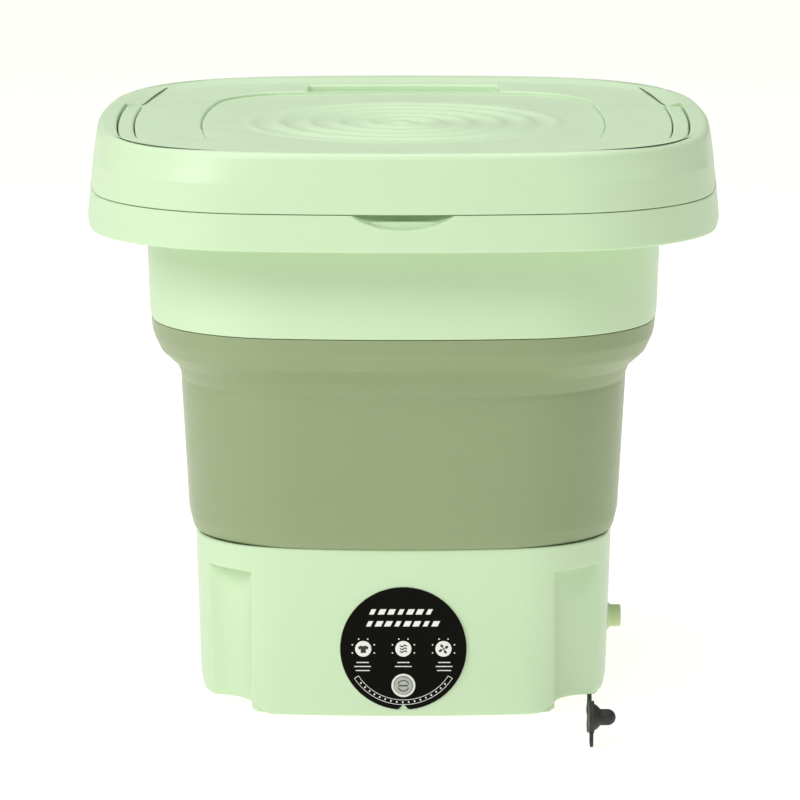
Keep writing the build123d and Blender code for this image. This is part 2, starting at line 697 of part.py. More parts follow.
def dc_jack():
    """The round low-voltage inlet at the back, with its centre pin and its flange."""
    out_y = base_half(JACK_Z)
    barrel = Pos(JACK_X, out_y - 6.5, JACK_Z) * Cylinder(JACK_RADIUS, 15.0, rotation=(90, 0, 0))
    flange = Pos(JACK_X, out_y + 1.0, JACK_Z) * Cylinder(7.5, 1.0, rotation=(90, 0, 0))
    jack = barrel + flange
    jack -= Pos(JACK_X, out_y - 3.0, JACK_Z) * Cylinder(JACK_BORE, 10.0, rotation=(90, 0, 0))
    return jack + Pos(JACK_X, out_y - 4.5, JACK_Z) * Cylinder(1.0, 8.0, rotation=(90, 0, 0))


def jack_nut():
    """The nut that clamps the inlet from inside."""
    y = base_half(JACK_Z) - WALL - 2.6
    nut = Pos(JACK_X, y, JACK_Z) * Rot(90, 0, 0) * extrude(RegularPolygon(8.0, 6), 1.5, both=True)
    return nut - Pos(JACK_X, y, JACK_Z) * Cylinder(JACK_RADIUS + 0.02, 10, rotation=(90, 0, 0))


def lead(points):
    """A wire held inside the base, straight runs joined by tangent arcs."""
    path = FilletPolyline(*points, radius=corner_radii(points, 0.4))
    return sweep((path ^ 0) * Circle(LEAD_RADIUS), path=path)


def power_leads():
    """Two wires from the inlet to the board."""
    y_start = base_half(JACK_Z) - 14.1
    made = []
    for side in (-1, 1):
        x = JACK_X + 2.0 * side
        points = [
            (x, y_start, JACK_Z), (x + 0.5, y_start - 7, JACK_Z - 0.3), (x + 11, y_start - 17, 23),
            (x + 24, 47, 20), (x + 27, 26, 18.5 + side), (x + 26, 2, 17.5 + side), (x + 22, -26, 18),
            (16 + 2 * side, -50, 20), (12 + 3 * side, -66, 24), (10 + 3 * side, LEADS_END_Y, 26),
        ]
        made.append(lead(points))
    return Compound(made)


def motor_leads():
    """Two wires from the motor's tags to the board."""
    made = []
    for side in (-1, 1):
        x = MOTOR_TAG_SPACING * side
        points = [
            (x, CENTRE_DISTANCE - 2.4, 5.6), (x * 1.1, CENTRE_DISTANCE - 12, 5.7), (x * 1.6 - 6, 8, 8.5),
            (-16 + 2 * side, -14, 9.5), (-18 + 2 * side, -40, 12), (-14 + 2.5 * side, -62, 20),
            (-12 + 2.5 * side, LEADS_END_Y, 27),
        ]
        made.append(lead(points))
    return Compound(made)


# ---------------------------------------------------------------- upper frame
def upper_frame():
    """The collar: the tapered wall that holds the soft wall's lip and carries the rim."""
    top = RIM_TOP - RIM_PLATE
    return stack([(COLLAR_BOTTOM, COLLAR_HALF_BOTTOM), (top, COLLAR_HALF_TOP)]) - collar_bore()


def collar_bore():
    """The way through the collar and the rim."""
    return stack([(COLLAR_BOTTOM, COLLAR_BORE_BOTTOM), (RIM_TOP + 1, COLLAR_BORE_TOP)])


def finger_scoop():
    """The cut at the front of the rim's top edge, for lifting the lid."""
    scoop = Pos(0, -RIM_HALF_BOTTOM, RIM_TOP - SCOOP_DEPTH + SCOOP_RADIUS)
    return scoop * Cylinder(SCOOP_RADIUS, 24.0, rotation=(90, 0, 0))


def inside_skirt():
    """The space that the skirt goes round, up to the rim's top."""
    return stack([(RIM_BOTTOM, RIM_HALF_BOTTOM - WALL), (RIM_TOP, RIM_HALF_TOP - WALL)])


def rim_skirt():
    """The band that hangs round the rim, with the finger scoop cut into its front."""
    band = stack([(RIM_BOTTOM, RIM_HALF_BOTTOM), (RIM_TOP, RIM_HALF_TOP)])
    lower = [e for e in band.edges() if e.bounding_box().max.Z < RIM_BOTTOM + 0.01]
    return eased(band, lower, 1.0) - inside_skirt() - finger_scoop()


def rim_ring():
    """The rim's top plate, from the collar's bore out to the skirt, with a block behind the finger scoop."""
    block = slab(-SCOOP_BLOCK_HALF, SCOOP_BLOCK_HALF, -BIG, SCOOP_BLOCK_BACK, SCOOP_BLOCK_BOTTOM, RIM_TOP)
    top = slab(-BIG, BIG, -BIG, BIG, RIM_TOP - RIM_PLATE, RIM_TOP)
    return (inside_skirt() & (top + block)) - collar_bore() - finger_scoop()


def frame_clamp_ring():
    """The ring inside the collar that pinches the soft wall's lip."""
    low, neck, top, thickness = 178.0, 191.4, 193.0, 1.8
    ring = stack([(low, CLAMP_HALF), (neck, CLAMP_HALF)])
    ring += stack([(neck - 0.1, WALL_LIP_HALF), (top, WALL_LIP_HALF)])
    return ring - stack([(low - 1, CLAMP_HALF - thickness), (top + 1, CLAMP_HALF - thickness)])


# ---------------------------------------------------------------- lid
def above_lid():
    """Everything above the lid's top, which is level and then rises a little to the back crest."""
    level = slab(-BIG, BIG, -BIG, BACK_RISE_FROM_Y, LID_CREST, LID_CREST + 20)
    run = LID_HALF_TOP - LID_EDGE_RADIUS - BACK_RISE_FROM_Y
    rise = math.degrees(math.atan2(BACK_CREST - LID_CREST, run))
    slope = Pos(0, BACK_RISE_FROM_Y, LID_CREST) * Rot(rise, 0, 0) * slab(-BIG, BIG, 0, BIG, 0, 20)
    return level + slope


def lid_shell():
    """The lid's outer moulding, with the handle's groove, the centre panel's seat and a finger slot."""
    sides = [(LID_BOTTOM, LID_HALF_BOTTOM), (LID_SHOULDER_Z, LID_HALF_SHOULDER)]
    shell = stack([*sides, (BACK_CREST, LID_HALF_TOP)])
    top_edges = [e for e in shell.edges() if e.bounding_box().min.Z > BACK_CREST - 0.01]
    shell = eased(shell, top_edges, LID_EDGE_RADIUS) - above_lid()
    shell -= stack([(LID_BOTTOM - 1, LID_HALF_BOTTOM - WALL), (LID_INSIDE_TOP, LID_HALF_SHOULDER - WALL)])
    slot_x = SLOT_HALF_X + WALL
    slot_block = slab(-slot_x, slot_x, SLOT_FRONT - WALL, SLOT_BACK + WALL, 250, 270)
    cavity = stack([(LID_INSIDE_TOP - 1, CENTRE_CAVITY_HALF), (CENTRE_CAVITY_TOP, CENTRE_CAVITY_HALF)])
    shell -= cavity - slot_block
    shell -= stack([(LID_PLATEAU, GROOVE_INNER), (BACK_CREST + 1, GROOVE_INNER)], GROOVE)
    groove = stack([(GROOVE_FLOOR, GROOVE_OUTER), (BACK_CREST + 1, GROOVE_OUTER)], GROOVE)
    groove -= stack([(GROOVE_FLOOR - 1, GROOVE_INNER), (BACK_CREST + 2, GROOVE_INNER)], GROOVE)
    shell -= groove & slab(-BIG, BIG, -BIG, PIVOT_Y + 7.0, 250, 280)
    shell -= centre_slab(0.2, CENTRE_FLOOR, 270)
    slot = Pos(0, (SLOT_FRONT + SLOT_BACK) / 2, SLOT_FLOOR)
    shell -= slot * extrude(RectangleRounded(2 * SLOT_HALF_X, SLOT_BACK - SLOT_FRONT, 3.0), 20)
    return shell - handle_pins()


def centre_slab(grow, z_low, z_high):
    """A slab in the centre panel's outline, a rectangle with bowed sides and round corners."""
    x, y = CENTRE_HALF_X + grow, (CENTRE_BACK - CENTRE_FRONT) / 2 + grow
    corner_x, corner_y = x - CENTRE_SIDE_BOW, y - CENTRE_END_BOW
    sides = [
        ThreePointArc((corner_x, -corner_y), (x, 0), (corner_x, corner_y)),
        ThreePointArc((corner_x, corner_y), (0, y), (-corner_x, corner_y)),
        ThreePointArc((-corner_x, corner_y), (-x, 0), (-corner_x, -corner_y)),
        ThreePointArc((-corner_x, -corner_y), (0, -y), (corner_x, -corner_y)),
    ]
    face = make_face(Wire(sides))
    face = fillet(face.vertices(), CENTRE_CORNER + grow)
    return Pos(0, (CENTRE_BACK + CENTRE_FRONT) / 2, z_low) * extrude(face, z_high - z_low)


def handle_pins():
    """Two pivot pins, one each side, fixed in the lid and running in the handle's legs."""
    right = along_x(PIN_INNER_X, PIN_OUTER_X, PIN_RADIUS, PIVOT_Y, PIVOT_Z)
    left = along_x(-PIN_OUTER_X, -PIN_INNER_X, PIN_RADIUS, PIVOT_Y, PIVOT_Z)
    return Compound([left, right])


def carry_handle():
    """The bail that lies in the lid's groove: a bar along the front and a leg down each side to its pin."""
    band = stack([(GROOVE_FLOOR + 0.6, HANDLE_OUTER), (HANDLE_TOP, HANDLE_OUTER)], HANDLE)
    band -= stack([(250.0, HANDLE_INNER), (270.0, HANDLE_INNER)], GROOVE)
    top = [e for e in band.edges() if e.bounding_box().min.Z > HANDLE_TOP - 0.01]
    band = eased(band, top, 1.0)
    front = band & slab(-BIG, BIG, -BIG, PIVOT_Y, 250, 280)
    knuckle_radius = HANDLE_TOP - PIVOT_Z
    for side in (-1, 1):
        knuckle = along_x(*sorted((side * 120.0, side * 136.0)), knuckle_radius, PIVOT_Y, PIVOT_Z)
        front += band & knuckle
        span = sorted((side * (PIN_INNER_X - 0.2), side * PIN_OUTER_X))
        front -= along_x(*span, PIN_RADIUS + FIT, PIVOT_Y, PIVOT_Z)
    return front


def lid_centre_panel():
    """The inset panel with raised ripple rings."""
    plate = centre_slab(0, CENTRE_FLOOR, CENTRE_TOP)
    above = slab(-BIG, BIG, -BIG, BIG, CENTRE_TOP - 0.5, 270.0)
    for radius in RIPPLE_RADII:
        plate += (Pos(0, RIPPLE_CENTRE_Y, CENTRE_TOP + 0.6 - 9.0) * Torus(radius, 9.0)) & above
    return plate


def lid_liner():
    """The lid's inner tray, with the ring that enters the collar and four pads under the shell."""
    top = LINER_Z + 2.0
    plate = stack([(LINER_Z, LINER_HALF), (top, LINER_HALF)])
    plate += stack([(LINER_RING_BOTTOM, LINER_RING_HALF), (LINER_Z + 0.2, LINER_RING_HALF)])
    plate -= stack([(LINER_RING_BOTTOM - 1, LINER_RING_HALF - 2.2), (LINER_Z, LINER_RING_HALF - 2.2)])
    for x in (-100, 100):
        for y in (-60, 60):
            plate += Pos(x, y, 0) * rod(top - 0.5, LID_INSIDE_TOP, 5.0)
    return plate


def lid_seal():
    """The soft ring between the liner and the rim."""
    ring = stack([(RIM_TOP + 0.1, SEAL_HALF + 4.0), (LINER_Z, SEAL_HALF + 3.0)])
    return ring - stack([(RIM_TOP - 1, SEAL_HALF), (LINER_Z + 1, SEAL_HALF)])


# ---------------------------------------------------------------- export
PARTS = {
    "base_housing": base_housing,
    "bottom_cover": bottom_cover,
    "cover_screws": cover_screws,
    "suction_feet": suction_feet,
    "folding_wall": folding_wall,
    "tub_basin": tub_basin,
    "drain_strainer": drain_strainer,
    "drain_spout": drain_spout,
    "drain_hose": drain_hose,
    "tether_anchor": tether_anchor,
    "tether_eye": tether_eye,
    "plug_tether": plug_tether,
    "drain_plug": drain_plug,
    "drive_plate": drive_plate,
    "drive_plate_screws": lambda: screws_up(BASIN_POSTS, 40.0, 13.0, 1.5),
    "motor_body": motor_body,
    "motor_screws": motor_screws,
    "motor_shaft": motor_shaft,
    "motor_pinion": motor_pinion,
    "lower_bush": lambda: tube(30.0, 43.0, 6.5, SHAFT_RADIUS + FIT),
    "upper_bush": lambda: tube(54.0, 63.8, 8.0, SHAFT_RADIUS + FIT),
    "shaft_seal": lambda: tube(63.8, 67.0, 8.0, SHAFT_RADIUS + FIT),
    "drive_shaft": drive_shaft,
    "drive_gear": drive_gear,
    "pulsator": pulsator,
    "pulsator_screw": pulsator_screw,
    "pulsator_cap": pulsator_cap,
    "control_fascia": control_fascia,
    "mode_lens_left": lambda: mode_lens(-1),
    "mode_lens_middle": lambda: mode_lens(0),
    "mode_lens_right": lambda: mode_lens(1),
    "button_ring": button_ring,
    "power_button": power_button,
    "control_board": control_board,
    "board_lamps": board_lamps,
    "board_chip": board_chip,
    "tact_switch": tact_switch,
    "board_carrier": board_carrier,
    "dc_jack": dc_jack,
    "jack_nut": jack_nut,
    "power_leads": power_leads,
    "motor_leads": motor_leads,
    "upper_frame": upper_frame,
    "rim_ring": rim_ring,
    "rim_skirt": rim_skirt,
    "frame_clamp_ring": frame_clamp_ring,
    "lid_shell": lid_shell,
    "handle_pins": handle_pins,
    "carry_handle": carry_handle,
    "lid_centre_panel": lid_centre_panel,
    "lid_liner": lid_liner,
    "lid_seal": lid_seal,
}


def main():
    os.makedirs("parts", exist_ok=True)
    for name, make in PARTS.items():
        export_step(make(), f"parts/{name}.step")


if __name__ == "__main__":
    main()
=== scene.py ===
"""The looks of a portable folding mini washer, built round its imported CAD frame.

Blender works in metres. Lengths of the design are written in millimetres and turned into metres by MM.
"""
import json
import math

import bmesh
import bpy
import numpy as np
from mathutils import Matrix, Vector


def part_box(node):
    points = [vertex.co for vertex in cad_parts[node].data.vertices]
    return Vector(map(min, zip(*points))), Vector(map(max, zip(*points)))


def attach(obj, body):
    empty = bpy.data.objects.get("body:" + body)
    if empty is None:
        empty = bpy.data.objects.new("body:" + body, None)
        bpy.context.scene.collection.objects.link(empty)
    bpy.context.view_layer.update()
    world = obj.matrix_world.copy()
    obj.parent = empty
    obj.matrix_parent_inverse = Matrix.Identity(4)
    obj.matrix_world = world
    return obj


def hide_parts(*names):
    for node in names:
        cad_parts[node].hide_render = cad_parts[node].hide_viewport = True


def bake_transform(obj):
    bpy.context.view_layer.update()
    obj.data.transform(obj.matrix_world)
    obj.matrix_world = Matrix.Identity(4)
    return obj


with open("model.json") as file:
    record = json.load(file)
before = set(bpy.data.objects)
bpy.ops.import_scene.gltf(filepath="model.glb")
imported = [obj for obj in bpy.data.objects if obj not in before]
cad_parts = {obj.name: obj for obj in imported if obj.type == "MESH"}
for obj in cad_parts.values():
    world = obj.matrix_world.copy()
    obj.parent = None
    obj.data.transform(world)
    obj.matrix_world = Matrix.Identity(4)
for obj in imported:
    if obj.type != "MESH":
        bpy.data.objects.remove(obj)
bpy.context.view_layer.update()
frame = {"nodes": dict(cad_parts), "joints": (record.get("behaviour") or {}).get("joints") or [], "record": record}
MM = 0.001


def box_mm(node):
    """Lowest and highest corner of a CAD node, in millimetres."""
    low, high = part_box(node)
    return np.array(low) / MM, np.array(high) / MM


# ---------------- sizes, from the frame
BASE_LOW, BASE_HIGH = box_mm("base_housing")
COLLAR_LOW, COLLAR_HIGH = box_mm("upper_frame")
RIM_LOW, RIM_HIGH = box_mm("rim_skirt")
LID_LOW, LID_HIGH = box_mm("lid_shell")
HANDLE_LOW, HANDLE_HIGH = box_mm("carry_handle")
PANEL_LOW, PANEL_HIGH = box_mm("lid_centre_panel")
FASCIA_LOW, FASCIA_HIGH = box_mm("control_fascia")
SPOUT_LOW, SPOUT_HIGH = box_mm("drain_spout")
PLUG_LOW, PLUG_HIGH = box_mm("drain_plug")
PULSATOR_HIGH = box_mm("pulsator")[1]
LINER_LOW = box_mm("lid_liner")[0]
CLAMP_LOW, CLAMP_HIGH = box_mm("frame_clamp_ring")

# Outline shapes: corner radius and side radius, as multiples of the half width
UPPER = (0.55, 4.0)
CREST = (0.61, 3.85)
GROOVE = (0.47, 5.5)
HANDLE = (0.53, 5.5)
CENTRE = (0.42, 4.0)
BASE = (0.46, 5.0)

BASE_HALF_TOP = BASE_HIGH[0]
BASE_HALF_BOTTOM = BASE_HALF_TOP - 2.3
BASE_TOP = BASE_HIGH[2]
BASE_BOTTOM = BASE_LOW[2]
COLLAR_BOTTOM, COLLAR_TOP = COLLAR_LOW[2], COLLAR_HIGH[2]
RIM_BOTTOM, RIM_TOP = RIM_LOW[2], RIM_HIGH[2]
RIM_HALF = RIM_HIGH[0]
LID_BOTTOM = LID_LOW[2]
BACK_CREST = LID_HIGH[2]
LID_CREST = BACK_CREST - 1.5
LID_HALF = LID_HIGH[0]
RISE_FROM_Y, RISE_TO_Y, RISE_FROM_Z = 55.0, LID_HALF - 7, 258.0
HANDLE_TOP = HANDLE_HIGH[2]
HANDLE_OUTER = HANDLE_HIGH[0]
HANDLE_INNER = HANDLE_OUTER - 7.0
PIVOT = next(j for j in frame["joints"] if j["name"] == "handle_swing")["pos_m"]
PIVOT_Y, PIVOT_Z = PIVOT[1] / MM, PIVOT[2] / MM
PLATEAU = LID_CREST - 1.5


# ---------------- outlines and surfaces
def outline_arcs(half, shape):
    """Side radius, corner radius, corner centre and the angle where a side meets a corner."""
    side_radius, corner_radius = shape[1] * half, shape[0] * half
    reach, offset = side_radius - corner_radius, side_radius - half
    centre = (-offset + math.sqrt(2 * reach**2 - offset**2)) / 2
    return side_radius, corner_radius, centre, offset, math.atan2(centre, centre + offset)


def outline(half, shape, t):
    """Points of a bowed square. t goes from 0 to 8, a side and then a corner in turn, from +X round to +Y."""
    side_radius, corner_radius, centre, offset, meet = outline_arcs(half, shape)
    quarter, s = np.divmod(np.asarray(t, float), 2.0)
    side = (2 * s - 1) * meet
    corner = meet + (s - 1) * (math.pi / 2 - 2 * meet)
    x = np.where(s < 1, side_radius * np.cos(side) - offset, centre + corner_radius * np.cos(corner))
    y = np.where(s < 1, side_radius * np.sin(side), centre + corner_radius * np.sin(corner))
    turn = quarter * math.pi / 2
    return np.stack([x * np.cos(turn) - y * np.sin(turn), x * np.sin(turn) + y * np.cos(turn)], -1)


def side_t(half, shape, quarter, along):
    """The t of a point on one side, at this distance anticlockwise from the side's middle."""
    side_radius, _, _, _, meet = outline_arcs(half, shape)
    return 2 * quarter + (math.asin(along / side_radius) / meet + 1) / 2


def columns(per_side=20, per_corner=22, extra=()):
    """Values of t, evenly spread over sides and corners, with extra ones where a shape needs them."""
    made = [2 * q + i / per_side for q in range(4) for i in range(per_side)]
    made += [2 * q + 1 + i / per_corner for q in range(4) for i in range(per_corner)]
    return np.array(sorted(set(made) | set(extra)))


def chain(points, steps=4, closed=False, longest=0.0):
    """Corners (half, z, radius, shape) as rows, each corner rounded and long stretches cut at 'longest'."""
    rows = []
    count = len(points)
    for i, (half, z, radius, shape) in enumerate(points):
        here = np.array([half, z])
        inner = closed or 0 < i < count - 1
        if not inner or radius <= 0:
            rows.append((here, shape))
            continue
        before = np.array(points[i - 1][:2]) - here
        after = np.array(points[(i + 1) % count][:2]) - here
        room_before, room_after = np.linalg.norm(before), np.linalg.norm(after)
        before, after = before / room_before, after / room_after
        half_angle = math.acos(max(-0.9999, min(0.9999, float(before @ after)))) / 2
        trim = min(radius / math.tan(half_angle), 0.48 * min(room_before, room_after))
        for k in range(steps + 1):
            u = k / steps
            rows.append((here + before * trim * (1 - u) ** 2 + after * trim * u**2, shape))
    if longest:
        full = []
        pairs = zip(rows, rows[1:] + (rows[:1] if closed else []))
        for (a, shape_a), (b, shape_b) in pairs:
            full.append((a, shape_a))
            pieces = max(1, math.ceil(np.linalg.norm(b - a) / longest))
            for k in range(1, pieces):
                mixed = tuple(np.array(shape_a) + (np.array(shape_b) - shape_a) * k / pieces)
                full.append((a + (b - a) * k / pieces, mixed))
        rows = full if closed else full + rows[-1:]
    return [(row[0], row[1], shape) for row, shape in rows]


def profile(points, shape, **how):
    """Rows of one outline shape, from corners (half, z, radius)."""
    return chain([(half, z, radius, shape) for half, z, radius in points], **how)


def ring_grid(rows, t):
    """The points of rows (half, z, shape) at each t, as an array of rows by columns by 3, in millimetres."""
    grid = np.zeros((len(rows), len(t), 3))
    for i, (half, z, shape) in enumerate(rows):
        grid[i, :, :2] = outline(half, shape, t)
        grid[i, :, 2] = z
    return grid


def make_object(name, points, faces):
    """A smooth-shaded mesh object from points in millimetres."""
    mesh = bpy.data.meshes.new(name)
    mesh.from_pydata((np.asarray(points) * MM).tolist(), [], [tuple(map(int, f)) for f in faces])
    work = bmesh.new()
    work.from_mesh(mesh)
    bmesh.ops.remove_doubles(work, verts=work.verts, dist=1e-7)
    bmesh.ops.dissolve_degenerate(work, edges=work.edges, dist=1e-8)
    bmesh.ops.recalc_face_normals(work, faces=work.faces)
    work.to_mesh(mesh)
    work.free()
    mesh.shade_smooth()
    made = bpy.data.objects.new(name, mesh)
    bpy.context.scene.collection.objects.link(made)
    return made


def grid_faces(rows, cols, closed_rows):
    """Quads between the points of a grid whose columns go all round."""
    i = np.arange(rows if closed_rows else rows - 1)
    i, j = (a.ravel() for a in np.meshgrid(i, np.arange(cols), indexing="ij"))
    i2, j2 = (i + 1) % rows, (j + 1) % cols
    return np.stack([i * cols + j, i * cols + j2, i2 * cols + j2, i2 * cols + j], -1).tolist()


def surface(name, grid, closed_rows=False, caps=(False, False)):
    """An object over a grid of points, with its first and last rows joined, or each closed by a face."""
    rows, cols = grid.shape[:2]
    faces = grid_faces(rows, cols, closed_rows)
    if caps[0]:
        faces.append(list(range(cols))[::-1])
    if caps[1]:
        faces.append([(rows - 1) * cols + j for j in range(cols)])
    return make_object(name, grid.reshape(-1, 3), faces)


def join(name, parts):
    """Several objects as one."""
    bpy.ops.object.select_all(action="DESELECT")
    for part in parts:
        part.select_set(True)
    bpy.context.view_layer.objects.active = parts[0]
    bpy.ops.object.join()
    parts[0].name = name
    parts[0].data.name = name
    return parts[0]


def lathe(name, rows, turns=64, start=(0, 0, 0), axis="Z"):
    """A turned piece: rows are (radius, distance along the axis); the ends are closed."""
    angle = np.linspace(0, 2 * math.pi, turns, endpoint=False)
    grid = np.zeros((len(rows), turns, 3))
    for i, (radius, along) in enumerate(rows):
        ring = (radius * np.cos(angle), radius * np.sin(angle), np.full(turns, along))
        order = {"Z": (0, 1, 2), "X": (2, 0, 1)}[axis]
        grid[i] = np.stack([ring[k] for k in order], -1) + np.array(start)
    return surface(name, grid, caps=(True, True))


def soft_chain(points, steps=5):
    """Corners (radius, along, round) of a turned piece as rows, each corner rounded."""
    return [(a, b) for a, b, _ in chain([(r, z, fillet, None) for r, z, fillet in points], steps)]


def tidy_normals(piece):
    """Weighs shading by face area, so that flats beside small rounds look flat."""
    weigh = piece.modifiers.new("weighted", "WEIGHTED_NORMAL")
    weigh.keep_sharp = True
    weigh.weight = 50


# ---------------- materials
def colour(r, g, b):
    """A screen colour, 0 to 255, as linear light."""
    light = [((c / 255 + 0.055) / 1.055) ** 2.4 if c > 10 else c / 255 / 12.92 for c in (r, g, b)]
    return (*light, 1.0)


def shade(rgba, share):
    """The colour made lighter or darker."""
    return tuple(min(1.0, c * share) for c in rgba[:3]) + (1.0,)


def fill(node, **inputs):
    """Sets a node's inputs; an underscore stands for a space."""
    for name, value in inputs.items():
        node.inputs[name.replace("_", " ")].default_value = value
    return node


def material(name, base, rough=0.4, mottle=0.03, mottle_scale=14.0, grain=900.0, bump=0.02, wear=0.06,
             **sockets):
    """A moulded or drawn surface: cloudy colour, uneven gloss with faint rub marks, and a fine grain."""
    made = bpy.data.materials.new(name)
    made.use_nodes = True
    nodes, links = made.node_tree.nodes, made.node_tree.links
    shader = fill(nodes["Principled BSDF"], **sockets)
    place = nodes.new("ShaderNodeTexCoord")

    cloud = fill(nodes.new("ShaderNodeTexNoise"), Scale=mottle_scale, Detail=4.0)
    links.new(place.outputs["Object"], cloud.inputs["Vector"])
    tint = nodes.new("ShaderNodeMix")
    tint.data_type = "RGBA"
    fill(tint, A=shade(base, 1 - mottle), B=shade(base, 1 + mottle))
    links.new(cloud.outputs["Fac"], tint.inputs["Factor"])
    links.new(tint.outputs["Result"], shader.inputs["Base Color"])

    stretch = fill(nodes.new("ShaderNodeMapping"), Scale=(1.0, 1.0, 7.0))
    links.new(place.outputs["Object"], stretch.inputs["Vector"])
    rub = fill(nodes.new("ShaderNodeTexNoise"), Scale=60.0, Detail=6.0, Roughness=0.65)
    links.new(stretch.outputs["Vector"], rub.inputs["Vector"])
    gloss = fill(nodes.new("ShaderNodeMapRange"), From_Min=0.3, From_Max=0.7,
                 To_Min=max(0.02, rough - wear), To_Max=rough + wear)
    links.new(rub.outputs["Fac"], gloss.inputs["Value"])
    links.new(gloss.outputs["Result"], shader.inputs["Roughness"])

    fine = fill(nodes.new("ShaderNodeTexNoise"), Scale=grain, Detail=3.0)
    links.new(place.outputs["Object"], fine.inputs["Vector"])
    raised = fill(nodes.new("ShaderNodeBump"), Strength=bump, Distance=0.0004)
    links.new(fine.outputs["Fac"], raised.inputs["Height"])
    links.new(raised.outputs["Normal"], shader.inputs["Normal"])
    return made


GREEN = colour(206, 231, 193)
HOUSING = material("housing_plastic", GREEN, rough=0.38, Subsurface_Weight=0.08, Subsurface_Scale=0.004,
                   Subsurface_Radius=(0.8, 1.0, 0.6), Specular_IOR_Level=0.4)
SPOUT = material("spout_plastic", colour(208, 226, 178), rough=0.42, Subsurface_Weight=0.15,
                 Subsurface_Scale=0.003)
BASIN = material("basin_plastic", colour(214, 238, 200), rough=0.36, mottle=0.02)
WALL = material("wall_elastomer", colour(148, 163, 122), rough=0.46, mottle=0.05, mottle_scale=9.0,
                grain=500.0, bump=0.03, Subsurface_Weight=0.35, Subsurface_Scale=0.006,
                Subsurface_Radius=(0.9, 1.0, 0.6), Sheen_Weight=0.06, Coat_Weight=0.08)
INNER = material("inner_plastic", colour(232, 233, 228), rough=0.5)
GEAR = material("gear_acetal", colour(240, 236, 222), rough=0.42, mottle=0.02)
STEEL = material("screw_steel", colour(196, 197, 200), rough=0.28, grain=2400.0, bump=0.05, Metallic=1.0)
SHAFT = material("ground_steel", colour(178, 180, 184), rough=0.22, grain=3000.0, bump=0.04, Metallic=1.0)
CAN = material("motor_can", colour(160, 163, 166), rough=0.34, mottle=0.06, Metallic=1.0)
BRONZE = material("sintered_bronze", colour(186, 146, 92), rough=0.5, mottle=0.09, grain=1800.0, bump=0.12,
                  Metallic=1.0)
FOOT = material("foot_silicone", colour(206, 210, 200), rough=0.55, mottle=0.05, Subsurface_Weight=0.2,
                Subsurface_Scale=0.003)
HOSE = material("hose_rubber", colour(52, 52, 52), rough=0.7, mottle=0.12, bump=0.15)
RUBBER = material("plug_rubber", colour(38, 38, 37), rough=0.55, mottle=0.14, grain=1300.0, bump=0.1)
SEAL = material("seal_silicone", colour(226, 230, 218), rough=0.5, Subsurface_Weight=0.2,
                Subsurface_Scale=0.003)
BLACK = material("fascia_black", colour(12, 13, 9), rough=0.3, mottle=0.1, wear=0.05, grain=700.0,
                 bump=0.01, Specular_IOR_Level=0.05)
# Painted shade: a dark green that stands in for the shadow in the lid's fine grooves.
PAINTED_GROOVE_SHADE = material("seam_shadow", colour(96, 118, 84), rough=0.6, mottle=0.05)
EDGE = material("fascia_edge", colour(214, 234, 200), rough=0.3, mottle=0.02)
WHITE = material("printed_white", colour(238, 240, 234), rough=0.4, mottle=0.04, mottle_scale=300.0)
INK = material("printed_ink", colour(30, 32, 27), rough=0.35, mottle=0.1, mottle_scale=300.0)
GREY = material("button_grey", colour(176, 180, 172), rough=0.33, mottle=0.05, mottle_scale=120.0)
BOARD = material("board_resist", colour(28, 98, 58), rough=0.35, mottle=0.18, mottle_scale=160.0)
CHIP = material("chip_black", colour(34, 34, 36), rough=0.5, mottle=0.1)
LEAD = material("lead_red", colour(170, 30, 26), rough=0.42, mottle=0.06)

SLOT_MATERIALS = {
    "housing_plastic": HOUSING, "basin_plastic": BASIN, "wall_elastomer": WALL, "inner_plastic": INNER,
    "gear_plastic": GEAR, "screw_steel": STEEL, "shaft_steel": SHAFT, "motor_steel": CAN,
    "bush_bronze": BRONZE, "foot_rubber": FOOT, "hose_rubber": HOSE, "plug_rubber": RUBBER,
    "seal_silicone": SEAL, "fascia_black": BLACK, "lens_white": WHITE, "button_grey": GREY,
    "board_green": BOARD, "chip_black": CHIP, "lead_red": LEAD,
}


def dress_cad_nodes():
    """Gives each CAD node that stays the material of its slot."""
    slots = {part["node"]: part["material_slot"] for part in frame["record"]["subparts"]}
    for node, item in frame["nodes"].items():
        item.data.materials.clear()
        item.data.materials.append(SLOT_MATERIALS[slots[node]])


def finish_piece(piece, body, slot, *nodes, finish=None, weighted=True):
    """Paints a piece, puts it on its body and lets it stand for its CAD nodes."""
    if not piece.data.materials:
        piece.data.materials.append(finish or SLOT_MATERIALS[slot])
    if weighted:
        tidy_normals(piece)
    if body:
        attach(piece, body)
    if nodes:
        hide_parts(*nodes)
    return piece


# ---------------- lid
GROOVE_END = PIVOT_Y + 6.5
GROOVE_FLOOR = HANDLE_LOW[2] - 1.5
GROOVE_OUTER, GROOVE_INNER = HANDLE_OUTER + 0.8, HANDLE_INNER - 0.6
GROOVE_MIDDLE, CREST_INNER = 128.6, 134.2
SLOT_HALF, SLOT_FRONT, SLOT_BACK, SLOT_DEPTH, SLOT_EASE = 45.0, 98.0, 118.0, 7.6, 0.9
SEAT_GAP = 0.9
CENTRE_FLOOR = PANEL_LOW[2]
RIPPLE_CENTRE, RIPPLE_REACH, RIPPLE_PITCH = -12.0, 82.0, 14.0
RIPPLE_CRESTS, RIPPLE_TROUGHS = 0.6, 0.9


def panel_outline(grow, t):
    """The centre panel's outline, a rectangle with bowed sides, grown all round."""
    half = np.array([PANEL_HIGH[0], (PANEL_HIGH[1] - PANEL_LOW[1]) / 2]) + grow
    return outline(1.0, CENTRE, t) * half + np.array([0.0, (PANEL_HIGH[1] + PANEL_LOW[1]) / 2])


